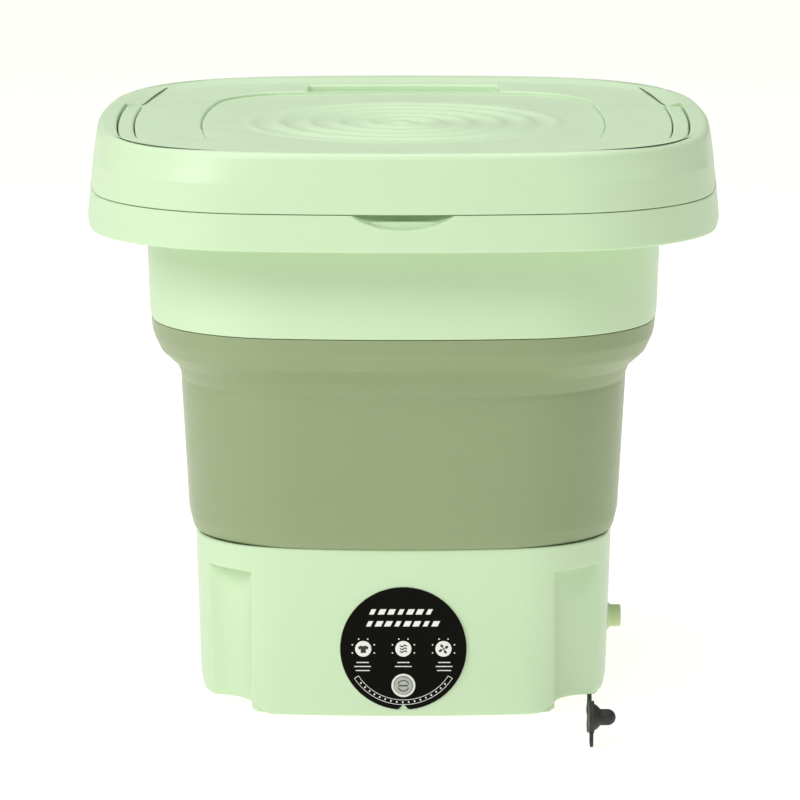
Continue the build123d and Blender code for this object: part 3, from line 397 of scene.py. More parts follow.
def panel_t(t):
    """The panel outline's t for each column of the lid, so that columns run straight beside the slot."""
    key = SLOT_HALF + 3.0
    lid = [side_t(HANDLE_INNER, GROOVE, 1, along) for along in (-key, key)]
    panel = [side_t(1.0, CENTRE, 1, along / PANEL_HIGH[0]) for along in (-key, key)]
    return np.interp(t, [0, 1.5, *lid, 3.5, 8], [0, 1.5, *panel, 3.5, 8])


def smooth_step(x, low, high):
    """0 below low, 1 above high, and a smooth rise between."""
    s = np.clip((np.asarray(x, float) - low) / (high - low), 0, 1)
    return s * s * (3 - 2 * s)


def lid_columns():
    """Columns of the lid, with close ones at the ends of the handle's groove and of the finger slot."""
    extra = []
    for offset in (-0.5, 0.0, 0.5):
        extra.append(side_t(GROOVE_MIDDLE, GROOVE, 0, GROOVE_END + offset))
        extra.append(side_t(GROOVE_MIDDLE, GROOVE, 2, -GROOVE_END - offset))
    for side in (-1, 1):
        for offset in (-1.6, -1.2, -0.8, -0.3, 0.3, 0.8, 1.3, 1.8):
            extra.append(side_t(HANDLE_INNER, GROOVE, 1, side * (SLOT_HALF + offset)))
    return columns(28, 26, extra)


def back_rise(y):
    """How much higher than the front crest the lid's top lies at this y."""
    return (BACK_CREST - LID_CREST) * np.clip((y - RISE_FROM_Y) / (RISE_TO_Y - RISE_FROM_Y), 0, 1)


def raised_back(grid):
    """Lifts the lid's top towards the back, where it rises to its highest crest."""
    share = np.clip((grid[..., 2] - RISE_FROM_Z) / (LID_CREST - RISE_FROM_Z), 0, 1)
    grid[..., 2] += back_rise(grid[..., 1]) * share
    return grid


def lid_shell():
    """The lid's outer moulding: inside wall, lip, rolled edge, groove, plateau, slot and seat in one skin."""
    t = lid_columns()
    outer = chain([
        (137.6, 255.6, 0, UPPER), (141.6, LID_BOTTOM + 1, 0.0, UPPER), (141.8, LID_BOTTOM, 0.4, UPPER),
        (LID_HALF, LID_BOTTOM, 0.7, UPPER), (143.6, 252.5, 10.0, UPPER), (142.7, 259.0, 6.0, (0.59, 3.85)),
        (141.5, LID_CREST, 5.2, CREST), (134.6, LID_CREST, 0, (0.478, 5.41)),
    ], steps=8, longest=4.0)
    groove = profile([
        (CREST_INNER, LID_CREST, 0), (GROOVE_OUTER, LID_CREST, 0.7), (GROOVE_OUTER, GROOVE_FLOOR, 0.5),
        (GROOVE_INNER, GROOVE_FLOOR, 0.5), (GROOVE_INNER, PLATEAU, 0.6), (GROOVE_INNER - 1.2, PLATEAU, 0),
    ], GROOVE, steps=5, longest=2.0)
    rows = ring_grid(outer + groove, t)
    first = len(outer)
    behind = outline(GROOVE_MIDDLE, GROOVE, t)[:, 1] > GROOVE_END
    for i, (half, _, _) in enumerate(groove):
        flush = smooth_step(half, GROOVE_INNER - 1.0, GROOVE_OUTER + 1.0)
        rows[first + i, behind, 2] = PLATEAU + (LID_CREST - PLATEAU) * flush

    inner_ring = rows[-1, :, :2]
    along = panel_t(t)
    panel_ring = panel_outline(SEAT_GAP, along)
    seat_y = PANEL_HIGH[1] + SEAT_GAP
    span = GROOVE_INNER - 1.2 - seat_y
    marks = []
    for edge in (SLOT_FRONT, SLOT_BACK):
        marks += [(edge + d - seat_y) / span for d in (-SLOT_EASE, -0.5, -0.15, 0.15, 0.5, SLOT_EASE)]
    levels = sorted({k / 16 for k in range(1, 16)} | {max(m, 0.004) for m in marks} | {0.0}, reverse=True)
    plateau = []
    x_in = SLOT_HALF - np.abs(inner_ring[:, 0])
    at_back = inner_ring[:, 1] > 60
    for s in levels:
        ring = panel_ring * (1 - s) + inner_ring * s
        y_nominal = seat_y + span * s
        depth = np.minimum(y_nominal - SLOT_FRONT, SLOT_BACK - y_nominal)
        sink = smooth_step(np.minimum(depth, x_in), -SLOT_EASE, SLOT_EASE) * at_back
        plateau.append(np.column_stack([ring, PLATEAU - SLOT_DEPTH * sink]))
    seat = []
    for grow, drop in ((0.75, 0.1), (0.45, 0.3), (0.3, 0.7), (0.3, PLATEAU - CENTRE_FLOOR)):
        seat.append(np.column_stack([panel_outline(grow, along), np.full(len(t), PLATEAU - drop)]))
    grid = raised_back(np.concatenate([rows, np.array(plateau), np.array(seat)]))
    piece = surface("lid_shell_skin", grid, caps=(True, True))
    return finish_piece(piece, "lid", "housing_plastic", "lid_shell")


def lid_painted_groove_shade():
    """The fine dark line that runs on from the end of each groove to the lid's back corner: strips of painted
    shade set in the top, standing in for the shadow of a fine groove.
    """
    route = [
        (124.0, 42.5), (122.6, 50.0), (120.9, 64.0), (118.6, 80.0), (115.6, 96.0), (112.2, 108.5),
        (107.4, 116.6),
    ]
    sunk = 1.0
    strips = []
    for side in (-1, 1):
        grid = []
        for k, (x, y) in enumerate(route):
            top = PLATEAU + 0.28 + back_rise(y) + 0.11 * k
            half = 0.35 if k < len(route) - 1 else 0.9
            section = [(-half, -sunk), (-half, 0.0), (half, 0.02), (half, -sunk)]
            grid.append([(side * (x + across), y, top + up) for across, up in section])
        strips.append(surface(f"lid_groove_shade_strip_{side}", np.array(grid), caps=(True, True)))
    # The strips carry painted shade, a dark colour in place of a groove's shadow.
    return finish_piece(join("lid_painted_groove_shade", strips), "lid", "housing_plastic", finish=PAINTED_GROOVE_SHADE)


def lid_centre_panel():
    """The inset panel: ripples that spread from one point, and a softened edge."""
    count = 208
    t = 8 * np.arange(count) / count
    rim = panel_outline(0.0, t)
    top = PANEL_HIGH[2] - RIPPLE_CRESTS
    angle = np.unwrap(np.arctan2(rim[:, 1] - RIPPLE_CENTRE, rim[:, 0]))
    centre = np.array([0.0, RIPPLE_CENTRE])
    grid = []
    for radius in np.arange(1.0, RIPPLE_REACH + 2, 1.0):
        ring = centre + radius * np.column_stack([np.cos(angle), np.sin(angle)])
        grid.append(np.column_stack([ring, np.full(count, top + ripple(radius))]))
    last = grid[-1][:, :2]
    inner = panel_outline(-1.0, t)
    for s in (0.15, 0.3, 0.45, 0.6, 0.75, 0.9, 1.0):
        grid.append(np.column_stack([last * (1 - s) + inner * s, np.full(count, top)]))
    for grow, drop in ((-0.55, 0.08), (-0.2, 0.3), (0.0, 0.7), (0.0, top - CENTRE_FLOOR)):
        grid.append(np.column_stack([panel_outline(grow, t), np.full(count, top - drop)]))
    piece = surface("lid_centre_panel_skin", np.array(grid), caps=(True, True))
    return finish_piece(piece, "lid", "housing_plastic", "lid_centre_panel")


def ripple(radius):
    """Height of the rings at this distance from their centre, in millimetres."""
    fade = float(1 - smooth_step(radius, RIPPLE_REACH - 16, RIPPLE_REACH))
    swell = 0.5 + 0.5 * math.cos(2 * math.pi * (radius - 2.0) / RIPPLE_PITCH)
    return ((RIPPLE_CRESTS + RIPPLE_TROUGHS) * swell**1.5 - RIPPLE_TROUGHS) * fade


def carry_handle():
    """The bail: a soft-edged band round the front and sides, with a rounded knuckle at each end."""
    t_right = side_t(HANDLE_INNER + 3.5, HANDLE, 0, PIVOT_Y)
    t_left = side_t(HANDLE_INNER + 3.5, HANDLE, 2, -PIVOT_Y)
    t = np.linspace(t_right + 8, t_left, 150)
    corner = soft_section()
    turns = [math.radians(a) for a in (88, 75, 60, 45, 30, 15)]
    grid = [knuckle_section(t[0], corner, angle) for angle in turns]
    grid += [handle_section(value, corner, HANDLE_LOW[2], HANDLE_TOP, 0.0) for value in t]
    grid += [knuckle_section(t[-1], corner, angle) for angle in reversed(turns)]
    piece = surface("carry_handle_skin", np.array(grid), caps=(True, True))
    return finish_piece(piece, "handle", "housing_plastic", "carry_handle")


def soft_section():
    """A rounded square from (0, 0) to (1, 1) as points (across, up), with rounds of 1 mm on a 7 mm band."""
    points = []
    r = 0.16
    for cx, cy, start in ((1 - r, 1 - r, 0), (r, 1 - r, 90), (r, r, 180), (1 - r, r, 270)):
        for k in range(5):
            a = math.radians(start + 22.5 * k)
            points.append((cx + r * math.cos(a), cy + r * math.sin(a)))
    return points


def handle_section(t, corner, low, high, beyond):
    """One cross-section of the handle at t, from low to high, moved beyond the pivot along Y."""
    outer = outline(HANDLE_OUTER, HANDLE, [t % 8])[0] + (0, beyond)
    inner = outline(HANDLE_INNER, GROOVE, [t % 8])[0] + (0, beyond)
    return [(*(inner + (outer - inner) * a), low + (high - low) * b) for a, b in corner]


def knuckle_section(t, corner, angle):
    """One cross-section of the rounded end at t, this far round its circle."""
    radius = HANDLE_TOP - PIVOT_Z
    rise = radius * math.cos(angle)
    return handle_section(t, corner, PIVOT_Z - rise, PIVOT_Z + rise, radius * math.sin(angle))


def lid_liner():
    """The tray inside the lid and the ring under it that enters the collar."""
    top, under, low = LINER_LOW[2] + 11.6, LINER_LOW[2] + 9.6, LINER_LOW[2]
    ring, tray, dish, middle = 114.5, 141.2, 106.0, 20.0
    rows = profile([
        (middle, top, 0), (tray - 0.4, top, 0.4), (tray, under, 0.4), (ring, under, 1.2), (ring, low, 0.9),
        (ring - 2.2, low, 0.9), (ring - 2.2, under, 1.6), (dish, under, 0.8), (dish - 2, under + 0.6, 0.8),
        (middle, under + 0.6, 0),
    ], UPPER, steps=4, longest=12.0)
    piece = surface("lid_liner_skin", ring_grid(rows, columns(16, 22)), caps=(True, True))
    return finish_piece(piece, "lid", "housing_plastic", "lid_liner")


# ---------------- upper frame and soft wall
SCOOP_HALF, SCOOP_DROP, SCOOP_DEPTH = 23.0, 6.2, 9.0
COLLAR_FOOT_INNER, COLLAR_FOOT_OUTER, COLLAR_INNER = 115.7, 118.3, 117.5
RIM_INNER, RIM_PLATE, SKIRT_WALL = 117.6, 2.8, 2.5


def scoop_depth(x, z):
    """How far the finger scoop goes in at this place on the rim's face."""
    down = (RIM_TOP + 0.4 - z) / (SCOOP_DROP + 0.4)
    inside = 1 - (x / SCOOP_HALF) ** 2 - down**1.25
    return SCOOP_DEPTH * np.sqrt(np.clip(inside, 0, 1))


def upper_frame():
    """The collar, a plain tapered wall."""
    rows = profile([
        (COLLAR_FOOT_INNER, COLLAR_BOTTOM, 0.7), (COLLAR_FOOT_OUTER, COLLAR_BOTTOM, 0.8),
        (COLLAR_HIGH[0], COLLAR_TOP, 0), (COLLAR_INNER, COLLAR_TOP, 0),
    ], UPPER, steps=5, closed=True, longest=6.0)
    piece = surface("upper_frame_skin", ring_grid(rows, columns()), closed_rows=True)
    return finish_piece(piece, "upper_frame", "housing_plastic", "upper_frame")


def rim_ring():
    """The wide rim: a plate with a hanging skirt, and the finger scoop pressed in at the front."""
    scoop_columns = np.arange(-SCOOP_HALF - 3, SCOOP_HALF + 3.1, 0.65)
    t = columns(20, 22, [side_t(RIM_HALF, UPPER, 3, x) for x in scoop_columns])
    plate = RIM_TOP - RIM_PLATE
    rows = profile([
        (RIM_INNER, plate, 0.5), (RIM_HALF - SKIRT_WALL - 1.7, plate, 1.4),
        (RIM_HALF - SKIRT_WALL, RIM_BOTTOM, 0.8), (RIM_HALF, RIM_BOTTOM, 1.4),
        (RIM_HALF - 1.5, RIM_TOP, 0.6), (RIM_INNER, RIM_TOP, 0.8),
    ], UPPER, steps=5, closed=True, longest=6.0)
    scoop_zone, row_height, fade_back = RIM_TOP - 12, 0.45, 24.0
    dense = []
    for (half, z, shape), (next_half, next_z, _) in zip(rows, rows[1:] + rows[:1]):
        in_face = min(half, next_half) > RIM_HALF - 1.9 and min(z, next_z) > scoop_zone and next_z > z
        pieces = max(1, math.ceil((next_z - z) / row_height)) if in_face else 1
        dense += [(half + (next_half - half) * k / pieces, z + (next_z - z) * k / pieces, shape)
                  for k in range(pieces)]
    grid = ring_grid(dense, t)
    front = (grid[:, :, 1] < -RIM_HALF + 30) & (grid[:, :, 2] > scoop_zone)
    face = outline(RIM_HALF - 0.7, UPPER, t)[:, 1]
    back = np.clip((grid[:, :, 1] - face[None, :]) / fade_back, 0, 1)
    push = scoop_depth(grid[:, :, 0], grid[:, :, 2]) * (1 - back)
    outside = np.array([half > RIM_HALF - 22 and z > RIM_BOTTOM + 1 for half, z, _ in dense])
    channel = np.array([half < RIM_HALF - 2.2 and z < RIM_TOP - 1 for half, z, _ in dense])
    grid[:, :, 1] += np.where((outside & ~channel)[:, None] & front, push, 0)
    piece = surface("rim_ring_skin", grid, closed_rows=True)
    return finish_piece(piece, "upper_frame", "housing_plastic", "rim_ring", "rim_skirt")


def clamp_ring():
    """The ring inside the collar that pinches the wall's lip."""
    low, top, outer = CLAMP_LOW[2], CLAMP_HIGH[2], CLAMP_HIGH[0] - 0.1
    inner, wall, flange = outer - 4.0, outer - 2.2, top - 1.6
    rows = profile([
        (inner, low, 0.6), (wall, low, 0.6), (wall, flange, 0.3), (outer, flange, 0.3), (outer, top, 0.5),
        (inner, top, 0.8),
    ], UPPER, steps=4, closed=True, longest=4.0)
    piece = surface("frame_clamp_ring_skin", ring_grid(rows, columns()), closed_rows=True)
    return finish_piece(piece, "upper_frame", "basin_plastic", "frame_clamp_ring")


# Height, width and depth of the faint folds moulded round the wall
WALL_CREASES = ((150.6, 1.5, 0.35), (146.0, 1.2, 0.22))


def folding_wall():
    """The soft wall: outside and inside in one skin, in fine rows along its height."""
    flange, flange_top, shoulder, lip = 79.6, 81.7, 179.2, 190.0
    outside = [
        (98.2, flange, 0.0), (99.6, 80.6, 2.0), (100.8, 86.0, 5.0), (104.3, 151.0, 5.0), (106.9, 157.6, 5.0),
        (114.2, 164.6, 6.0), (117.3, 171.4, 7.0), (118.0, shoulder, 0.3), (115.3, shoulder, 0.2),
        (115.3, lip, 0.6),
    ]
    inside = [
        (113.5, lip, 0.6), (113.7, 173.0, 5.0), (111.2, 166.6, 5.0), (103.6, 158.6, 5.0), (101.9, 151.0, 6.0),
        (98.7, 88.0, 4.0), (97.5, flange_top, 0.3), (86.0, flange_top, 0.3), (86.0, flange, 0.3),
    ]
    rows = profile(outside + inside, UPPER, steps=6, closed=True, longest=1.6)
    grid = ring_grid(rows, columns(22, 26))
    z = grid[:, :, 2]
    half = np.array([row[0] for row in rows])[:, None]
    creases = sum(depth * np.exp(-((z - height) / width) ** 2) for height, width, depth in WALL_CREASES)
    across = 0.65 + 0.35 * np.sin(0.045 * grid[:, :, 0] + 1.3) * np.cos(0.03 * grid[:, :, 1])
    scale = 1 - np.where(half > 99.5, creases * across, 0) / 100.0
    grid[:, :, :2] *= scale[:, :, None]
    piece = surface("folding_wall_skin", grid, closed_rows=True)
    finish_piece(piece, None, "wall_elastomer", "folding_wall", weighted=False)
    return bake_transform(piece)


# ---------------- base
NOTCH_CENTRE, NOTCH_RADIUS, NOTCH_EDGE, NOTCH_RELEASE = 90.0, 20.5, 0.7, 40 / 19
NOTCH_CEILING = 67.46
SIDE_LIFT, SIDE_FROM, SIDE_TO = 4.2, 62.0, 70.0
BASE_WALL = 2.5


def base_half(z):
    """Half width of the base at height z."""
    share = (z - BASE_BOTTOM) / (BASE_TOP - BASE_BOTTOM)
    return BASE_HALF_BOTTOM + share * (BASE_HALF_TOP - BASE_HALF_BOTTOM)


def base_reach(half, notched, angle, inset=0.0):
    """How far the casing's face is from the middle in each direction, with this share of its notches."""
    dense = outline(half, BASE, np.linspace(0, 8, 4001)[:-1])
    directions = np.arctan2(dense[:, 1], dense[:, 0])
    order = np.argsort(directions)
    full = np.interp(angle, directions[order], np.linalg.norm(dense, axis=1)[order], period=2 * math.pi)
    off_diagonal = angle % (math.pi / 2) - math.pi / 4
    middle = math.hypot(NOTCH_CENTRE, NOTCH_CENTRE)
    along = middle * np.cos(off_diagonal)
    inside = NOTCH_RADIUS**2 - (middle * np.sin(off_diagonal)) ** 2
    near = np.where(inside > 0, along - np.sqrt(np.clip(inside, 0, None)),
                    along + NOTCH_RELEASE * np.sqrt(np.clip(-inside, 0, None)))
    cut = -np.log(np.exp(-full / NOTCH_EDGE) + np.exp(-near / NOTCH_EDGE)) * NOTCH_EDGE
    return full + (np.minimum(cut, full) - full) * notched - inset


def base_columns():
    """Directions round the base, close together across each notch."""
    edges = np.arange(6, 16.01, 0.2)
    degrees = np.concatenate([-edges, np.arange(-6, 6, 0.5), edges, np.arange(-45, 45, 2.5)])
    corners = [math.pi / 4 + quarter * math.pi / 2 for quarter in range(4)]
    made = {round(float(value), 5) for corner in corners for value in np.radians(degrees) + corner}
    return np.array(sorted(made))


def base_housing():
    """The casing: tapered body, notched corners under a full top band, and side panels that stop short."""
    angle = base_columns()
    ray = np.column_stack([np.cos(angle), np.sin(angle)])

    def row(z, notched, inset, heights):
        """The casing's outline at z, as points at these heights."""
        reach = base_reach(base_half(z), notched, angle, inset)
        return np.column_stack([reach[:, None] * ray, np.broadcast_to(heights, len(angle))])

    bottom = BASE_BOTTOM + SIDE_LIFT * smooth_step(np.abs(row(2, 1.0, 0.0, 0.0)[:, 0]), SIDE_FROM, SIDE_TO)
    # Foot: (inset, lift). Ceiling of a notch: (rise, share of its depth). Top edge: (drop, inset).
    foot = [
        (BASE_WALL, 3.0), (BASE_WALL, 0.5), (2.2, 0.1), (1.5, 0.0), (0.9, 0.12), (0.4, 0.5), (0.1, 1.1),
        (0.0, 2.0),
    ]
    ceiling = [
        (-1.16, 1.0), (-0.66, 0.98), (-0.31, 0.9), (-0.11, 0.7), (-0.04, 0.4), (0.0, 0.16), (0.14, 0.05),
    ]
    top_edge = [(1.3, 0.0), (0.5, 0.12), (0.15, 0.4), (0.0, 0.9), (0.0, 2.2), (1.0, BASE_WALL)]
    levels = [(z, 1.0, 0.0) for z in np.linspace(7, 65, 20)]
    levels += [(NOTCH_CEILING + rise, notched, 0.0) for rise, notched in ceiling]
    levels += [(z, 0.0, 0.0) for z in (67.9, 70.0, 73.0, 76.0)]
    levels += [(BASE_TOP - drop, 0.0, inset) for drop, inset in top_edge]
    grid = [row(3, 1.0, inset, bottom + lift) for inset, lift in foot]
    grid += [row(z, notched, inset, np.maximum(z, bottom + 2.1 + 0.02 * z)) for z, notched, inset in levels]
    grid += [row(z, 1.0, BASE_WALL, z) for z in (70.0, 40.0, 12.0)]
    piece = surface("base_housing_skin", np.array(grid), closed_rows=True)
    return finish_piece(piece, "base", "housing_plastic", "base_housing")


# ---------------- control panel
PANEL_Z = (FASCIA_LOW[2] + FASCIA_HIGH[2]) / 2
PANEL_TILT = math.atan2(BASE_HALF_TOP - BASE_HALF_BOTTOM, BASE_TOP - BASE_BOTTOM)
EDGE_WIDTH = 0.6
DISC_RADIUS = (FASCIA_HIGH[0] - FASCIA_LOW[0]) / 2 - EDGE_WIDTH
DISC_OUT = 0.6
LENS_SPACING, LENS_RADIUS = 18.3, 3.7
BUTTON_DROP = 17.2
HOLE_RADIUS = 4.8


def on_panel(points):
    """Points (right, up, out) of the control panel in the row frame."""
    points = np.asarray(points, float)
    right, up, out = points[..., 0], points[..., 1], points[..., 2]
    c, s = math.cos(PANEL_TILT), math.sin(PANEL_TILT)
    y = -base_half(PANEL_Z) - out * c - up * s
    z = PANEL_Z + up * c - out * s
    return np.stack([right, y, z], -1)


def panel_disc(name, rows, centre=(0, 0), turns=96, notch=0.0, pierced=False):
    """A disc or a pierced ring on the panel; a notch of this depth may be cut at its foot.

    Rows are (radius, out), or (radius, out, how far down the circle lies).
    """
    angle = np.linspace(0, 2 * math.pi, turns, endpoint=False) - math.pi / 2
    grid = np.zeros((len(rows), turns, 3))
    for i, (radius, out, *down) in enumerate(rows):
        reach = np.full(turns, float(radius))
        if notch:
            off = np.abs((angle + math.pi / 2 + math.pi) % (2 * math.pi) - math.pi) * DISC_RADIUS
            reach = np.minimum(reach, DISC_RADIUS - notch * np.clip(1 - off / (0.75 * notch), 0, 1))
        up = centre[1] - sum(down)
        grid[i] = np.column_stack([centre[0] + reach * np.cos(angle), up + reach * np.sin(angle),
                                   np.full(turns, float(out))])
    return surface(name, on_panel(grid), caps=(not pierced, not pierced), closed_rows=pierced)


def printed(name, shapes, out=DISC_OUT + 0.02, thick=0.08):
    """Flat printed marks on the panel: each shape is a closed list of (right, up)."""
    parts = []
    for k, shape in enumerate(shapes):
        count = len(shape)
        points = [(x, y, out - 0.05) for x, y in shape] + [(x, y, out + thick) for x, y in shape]
        faces = [list(range(count))[::-1], [count + i for i in range(count)]]
        faces += [(i, (i + 1) % count, count + (i + 1) % count, count + i) for i in range(count)]
        parts.append(make_object(f"{name}_{k}", on_panel(points), faces))
    made = join(name, parts)
    made.data.shade_flat()
    return made


def bar(x, y, width, height, slant=0.0):
    """A bar centred at (x, y), leaning over by slant."""
    w, h = width / 2, height / 2
    return [(x - w - slant, y - h), (x + w - slant, y - h), (x + w + slant, y + h), (x - w + slant, y + h)]


def dot(x, y, radius, count=16):
    """A round mark."""
    turn = [2 * math.pi * k / count for k in range(count)]
    return [(x + radius * math.cos(a), y + radius * math.sin(a)) for a in turn]


def arc_band(centre, inner, outer, start, end, steps=24):
    """A band between two radii, from one angle to another, in degrees."""
    angles = [math.radians(start + (end - start) * k / steps) for k in range(steps + 1)]
    near = [(centre[0] + inner * math.cos(a), centre[1] + inner * math.sin(a)) for a in angles]
    far = [(centre[0] + outer * math.cos(a), centre[1] + outer * math.sin(a)) for a in angles]
    return near + far[::-1]


def shirt(x, y, s):
    """A generic garment symbol."""
    half = [(0.28, 0.62), (0.95, 0.34), (0.72, -0.12), (0.45, 0.04), (0.45, -0.72)]
    right = [(x + s * a, y + s * b) for a, b in half]
    left = [(x - s * a, y + s * b) for a, b in reversed(half)]
    return right + left + [(x - 0.28 * s, y + 0.62 * s), (x, y + 0.42 * s)]


def waves(x, y, s):
    """Three short wavy bands."""
    made = []
    steps = np.linspace(-0.6, 0.6, 13)
    for row in (-0.5, 0.0, 0.5):
        top = [(x + s * u, y + s * (row + 0.14 + 0.13 * math.sin(6 * u))) for u in steps]
        low = [(px, py - 0.22 * s) for px, py in top]
        made.append(top[::-1] + low)
    return made


def fan(x, y, s):
    """Four curved blades round a hub."""
    made = [dot(x, y, 0.16 * s)]
    blade = [(0.2, 0.0), (0.5, -0.18), (0.82, -0.05), (0.86, 0.22), (0.6, 0.3), (0.3, 0.16)]
    for k in range(4):
        turn = math.pi / 2 * k + 0.4
        along, across = s * math.cos(turn), s * math.sin(turn)
        made.append([(x + u * along - v * across, y + u * across + v * along) for u, v in blade])
    return made


def control_panel():
    """The black disc, its light edge, three windows with symbols, the ringed button and the printed marks."""
    back, face = -1.4, DISC_OUT
    rows = [(DISC_RADIUS, back), (DISC_RADIUS, face - 0.35), (DISC_RADIUS - 0.1, face - 0.12),
            (DISC_RADIUS - 0.35, face)]
    wide = DISC_RADIUS - 3.5
    rows += [(wide + (HOLE_RADIUS - wide) * s, face - 0.04, BUTTON_DROP * s) for s in np.linspace(0, 1, 6)]
    rows.append((HOLE_RADIUS, back, BUTTON_DROP))
    disc = panel_disc("control_fascia_skin", rows, turns=192, notch=3.0, pierced=True)
    finish_piece(disc, "base", "fascia_black", "control_fascia")
    outer = DISC_RADIUS + EDGE_WIDTH
    inner = DISC_RADIUS + 0.05
    edge = [(inner, back), (outer, back), (outer, -0.25), (outer - 0.1, -0.05), (inner, 0.05)]
    ring = panel_disc("control_fascia_edge", edge, turns=192, pierced=True)
    finish_piece(ring, "base", "housing_plastic", finish=EDGE)
    lens_face = face + 0.17
    lens_rows = [(LENS_RADIUS, face - 0.6), (LENS_RADIUS, face + 0.02), (LENS_RADIUS - 0.12, face + 0.13),
                 (LENS_RADIUS - 0.4, lens_face), (1.5, lens_face)]
    for name, index in (("mode_lens_left", -1), ("mode_lens_middle", 0), ("mode_lens_right", 1)):
        lens = panel_disc(name + "_skin", lens_rows, (index * LENS_SPACING, 0), 64)
        finish_piece(lens, "base", "lens_white", name)
    symbols = [shirt(-LENS_SPACING, 0, 2.6)] + waves(0, 0, 2.7) + fan(LENS_SPACING, 0, 2.8)
    symbols = printed("mode_symbols", symbols, lens_face)
    finish_piece(symbols, "base", "fascia_black", finish=INK, weighted=False)
    marks = printed("panel_marks", panel_marks())
    finish_piece(marks, "base", "lens_white", finish=WHITE, weighted=False)
    push_button(face)


def panel_marks():
    """Generic marks: two rows of leaning bars, ticks round the windows, rules under them and an arc scale."""
    marks = []
    pitch, tall, lean = 4.3, 2.5, 0.6
    for y, start, count in ((17.4, -14.0, 7), (11.8, -15.4, 8)):
        for k in range(count):
            marks.append(bar(start + pitch * k, y, 2.9 if k % 3 else 2.1, tall, lean))
    for index in (-1, 0, 1):
        x = index * LENS_SPACING
        for k in range(8):
            a = math.radians(45 * k + 22.5)
            if math.sin(a) > -0.8:
                marks.append(dot(x + 5.4 * math.cos(a), 5.0 * math.sin(a), 0.34, 10))
        for row, width in ((-6.4, 5.6), (-8.3, 7.6), (-10.2, 6.4)):
            if index == 0 and row < -9:
                continue
            marks.append(bar(x + 0.3 * index, row, width, 0.42))
    inner, outer = 24.0, 26.2
    marks += [arc_band((0, 0), radius, radius + 0.22, 212, 328) for radius in (inner, outer)]
    marks += [arc_band((0, 0), inner, outer + 0.2, end, end + 0.6, 2) for end in (211.6, 327.8)]
    ticks = [219 + 6.2 * k for k in range(17)]
    marks += [arc_band((0, 0), inner + 0.8, outer - 0.6, tick, tick + 1.4, 2) for tick in ticks]
    return marks


def push_button(face):
    """The bright ring, and the grey button inside it with a plain rule across."""
    centre = (0, -BUTTON_DROP)
    ring = [
        (5.45, -0.6), (5.45, 0.3), (5.3, 0.42), (5.0, 0.44), (4.75, 0.36), (4.6, 0.2), (4.3, 0.15),
        (4.25, -0.6),
    ]
    ring = [(radius, face + out) for radius, out in ring]
    made = panel_disc("button_ring_skin", ring, centre, 72, pierced=True)
    finish_piece(made, "base", "lens_white", "button_ring")
    button = [(4.1, -3.0 - face), (4.1, 0.5), (4.0, 0.72), (3.7, 0.86), (3.2, 0.84), (2.4, 0.72), (1.0, 0.66)]
    button = [(radius, face + out) for radius, out in button]
    made = panel_disc("power_button_skin", button, centre, 64)
    finish_piece(made, "button", "button_grey", "power_button")
    mark = [bar(*centre, 4.4, 0.55)] + [arc_band(centre, 2.3, 2.75, a, a + 140, 16) for a in (20, 200)]
    made = printed("power_button_mark", mark, face + 0.7)
    finish_piece(made, "button", "fascia_black", finish=INK, weighted=False)


# ---------------- drain, plug and tether
SPOUT_BORE, SPOUT_TUBE, SPOUT_SHOULDER = 3.9, 5.25, 6.7
PLUG_X, PLUG_Y, PLUG_AXIS = PLUG_LOW[0] + 1.7, (PLUG_LOW[1] + PLUG_HIGH[1]) / 2, 13.4
HEAD_RADIUS, STEM_RADIUS = PLUG_HIGH[2] - PLUG_AXIS, 3.7
TETHER_RADIUS = 1.1
TETHER_ROUTE = (
    (86.2, -55.5, 3.4),
    (86.3, -61.5, 3.0),
    (85.9, -70.0, 1.4),
    (85.0, -82.0, 1.12),
    (85.1, -95.0, 1.12),
    (84.3, -108.0, 1.12),
    (84.1, -119.0, 1.12),
    (83.6, -128.5, 2.4),
    (83.7, -135.0, 6.8),
    (83.9, -138.8, 12.2),
)


def drain_spout():
    """The outlet: a bored tube with a small shoulder against the casing."""
    inner, tip, z = SPOUT_LOW[0] + 6, SPOUT_HIGH[0], (SPOUT_LOW[2] + SPOUT_HIGH[2]) / 2
    face = base_half(z)
    rows = soft_chain([
        (SPOUT_BORE, inner, 0), (SPOUT_BORE, tip, 0.5), (SPOUT_TUBE, tip, 0.9), (SPOUT_TUBE, face + 1.9, 0.8),
        (SPOUT_SHOULDER, face + 0.5, 0.6), (SPOUT_SHOULDER, inner, 0),
    ])
    piece = lathe("drain_spout_skin", rows, 72, (0, 0, z), "X")
    return finish_piece(piece, "base", "housing_plastic", "drain_spout", finish=SPOUT)


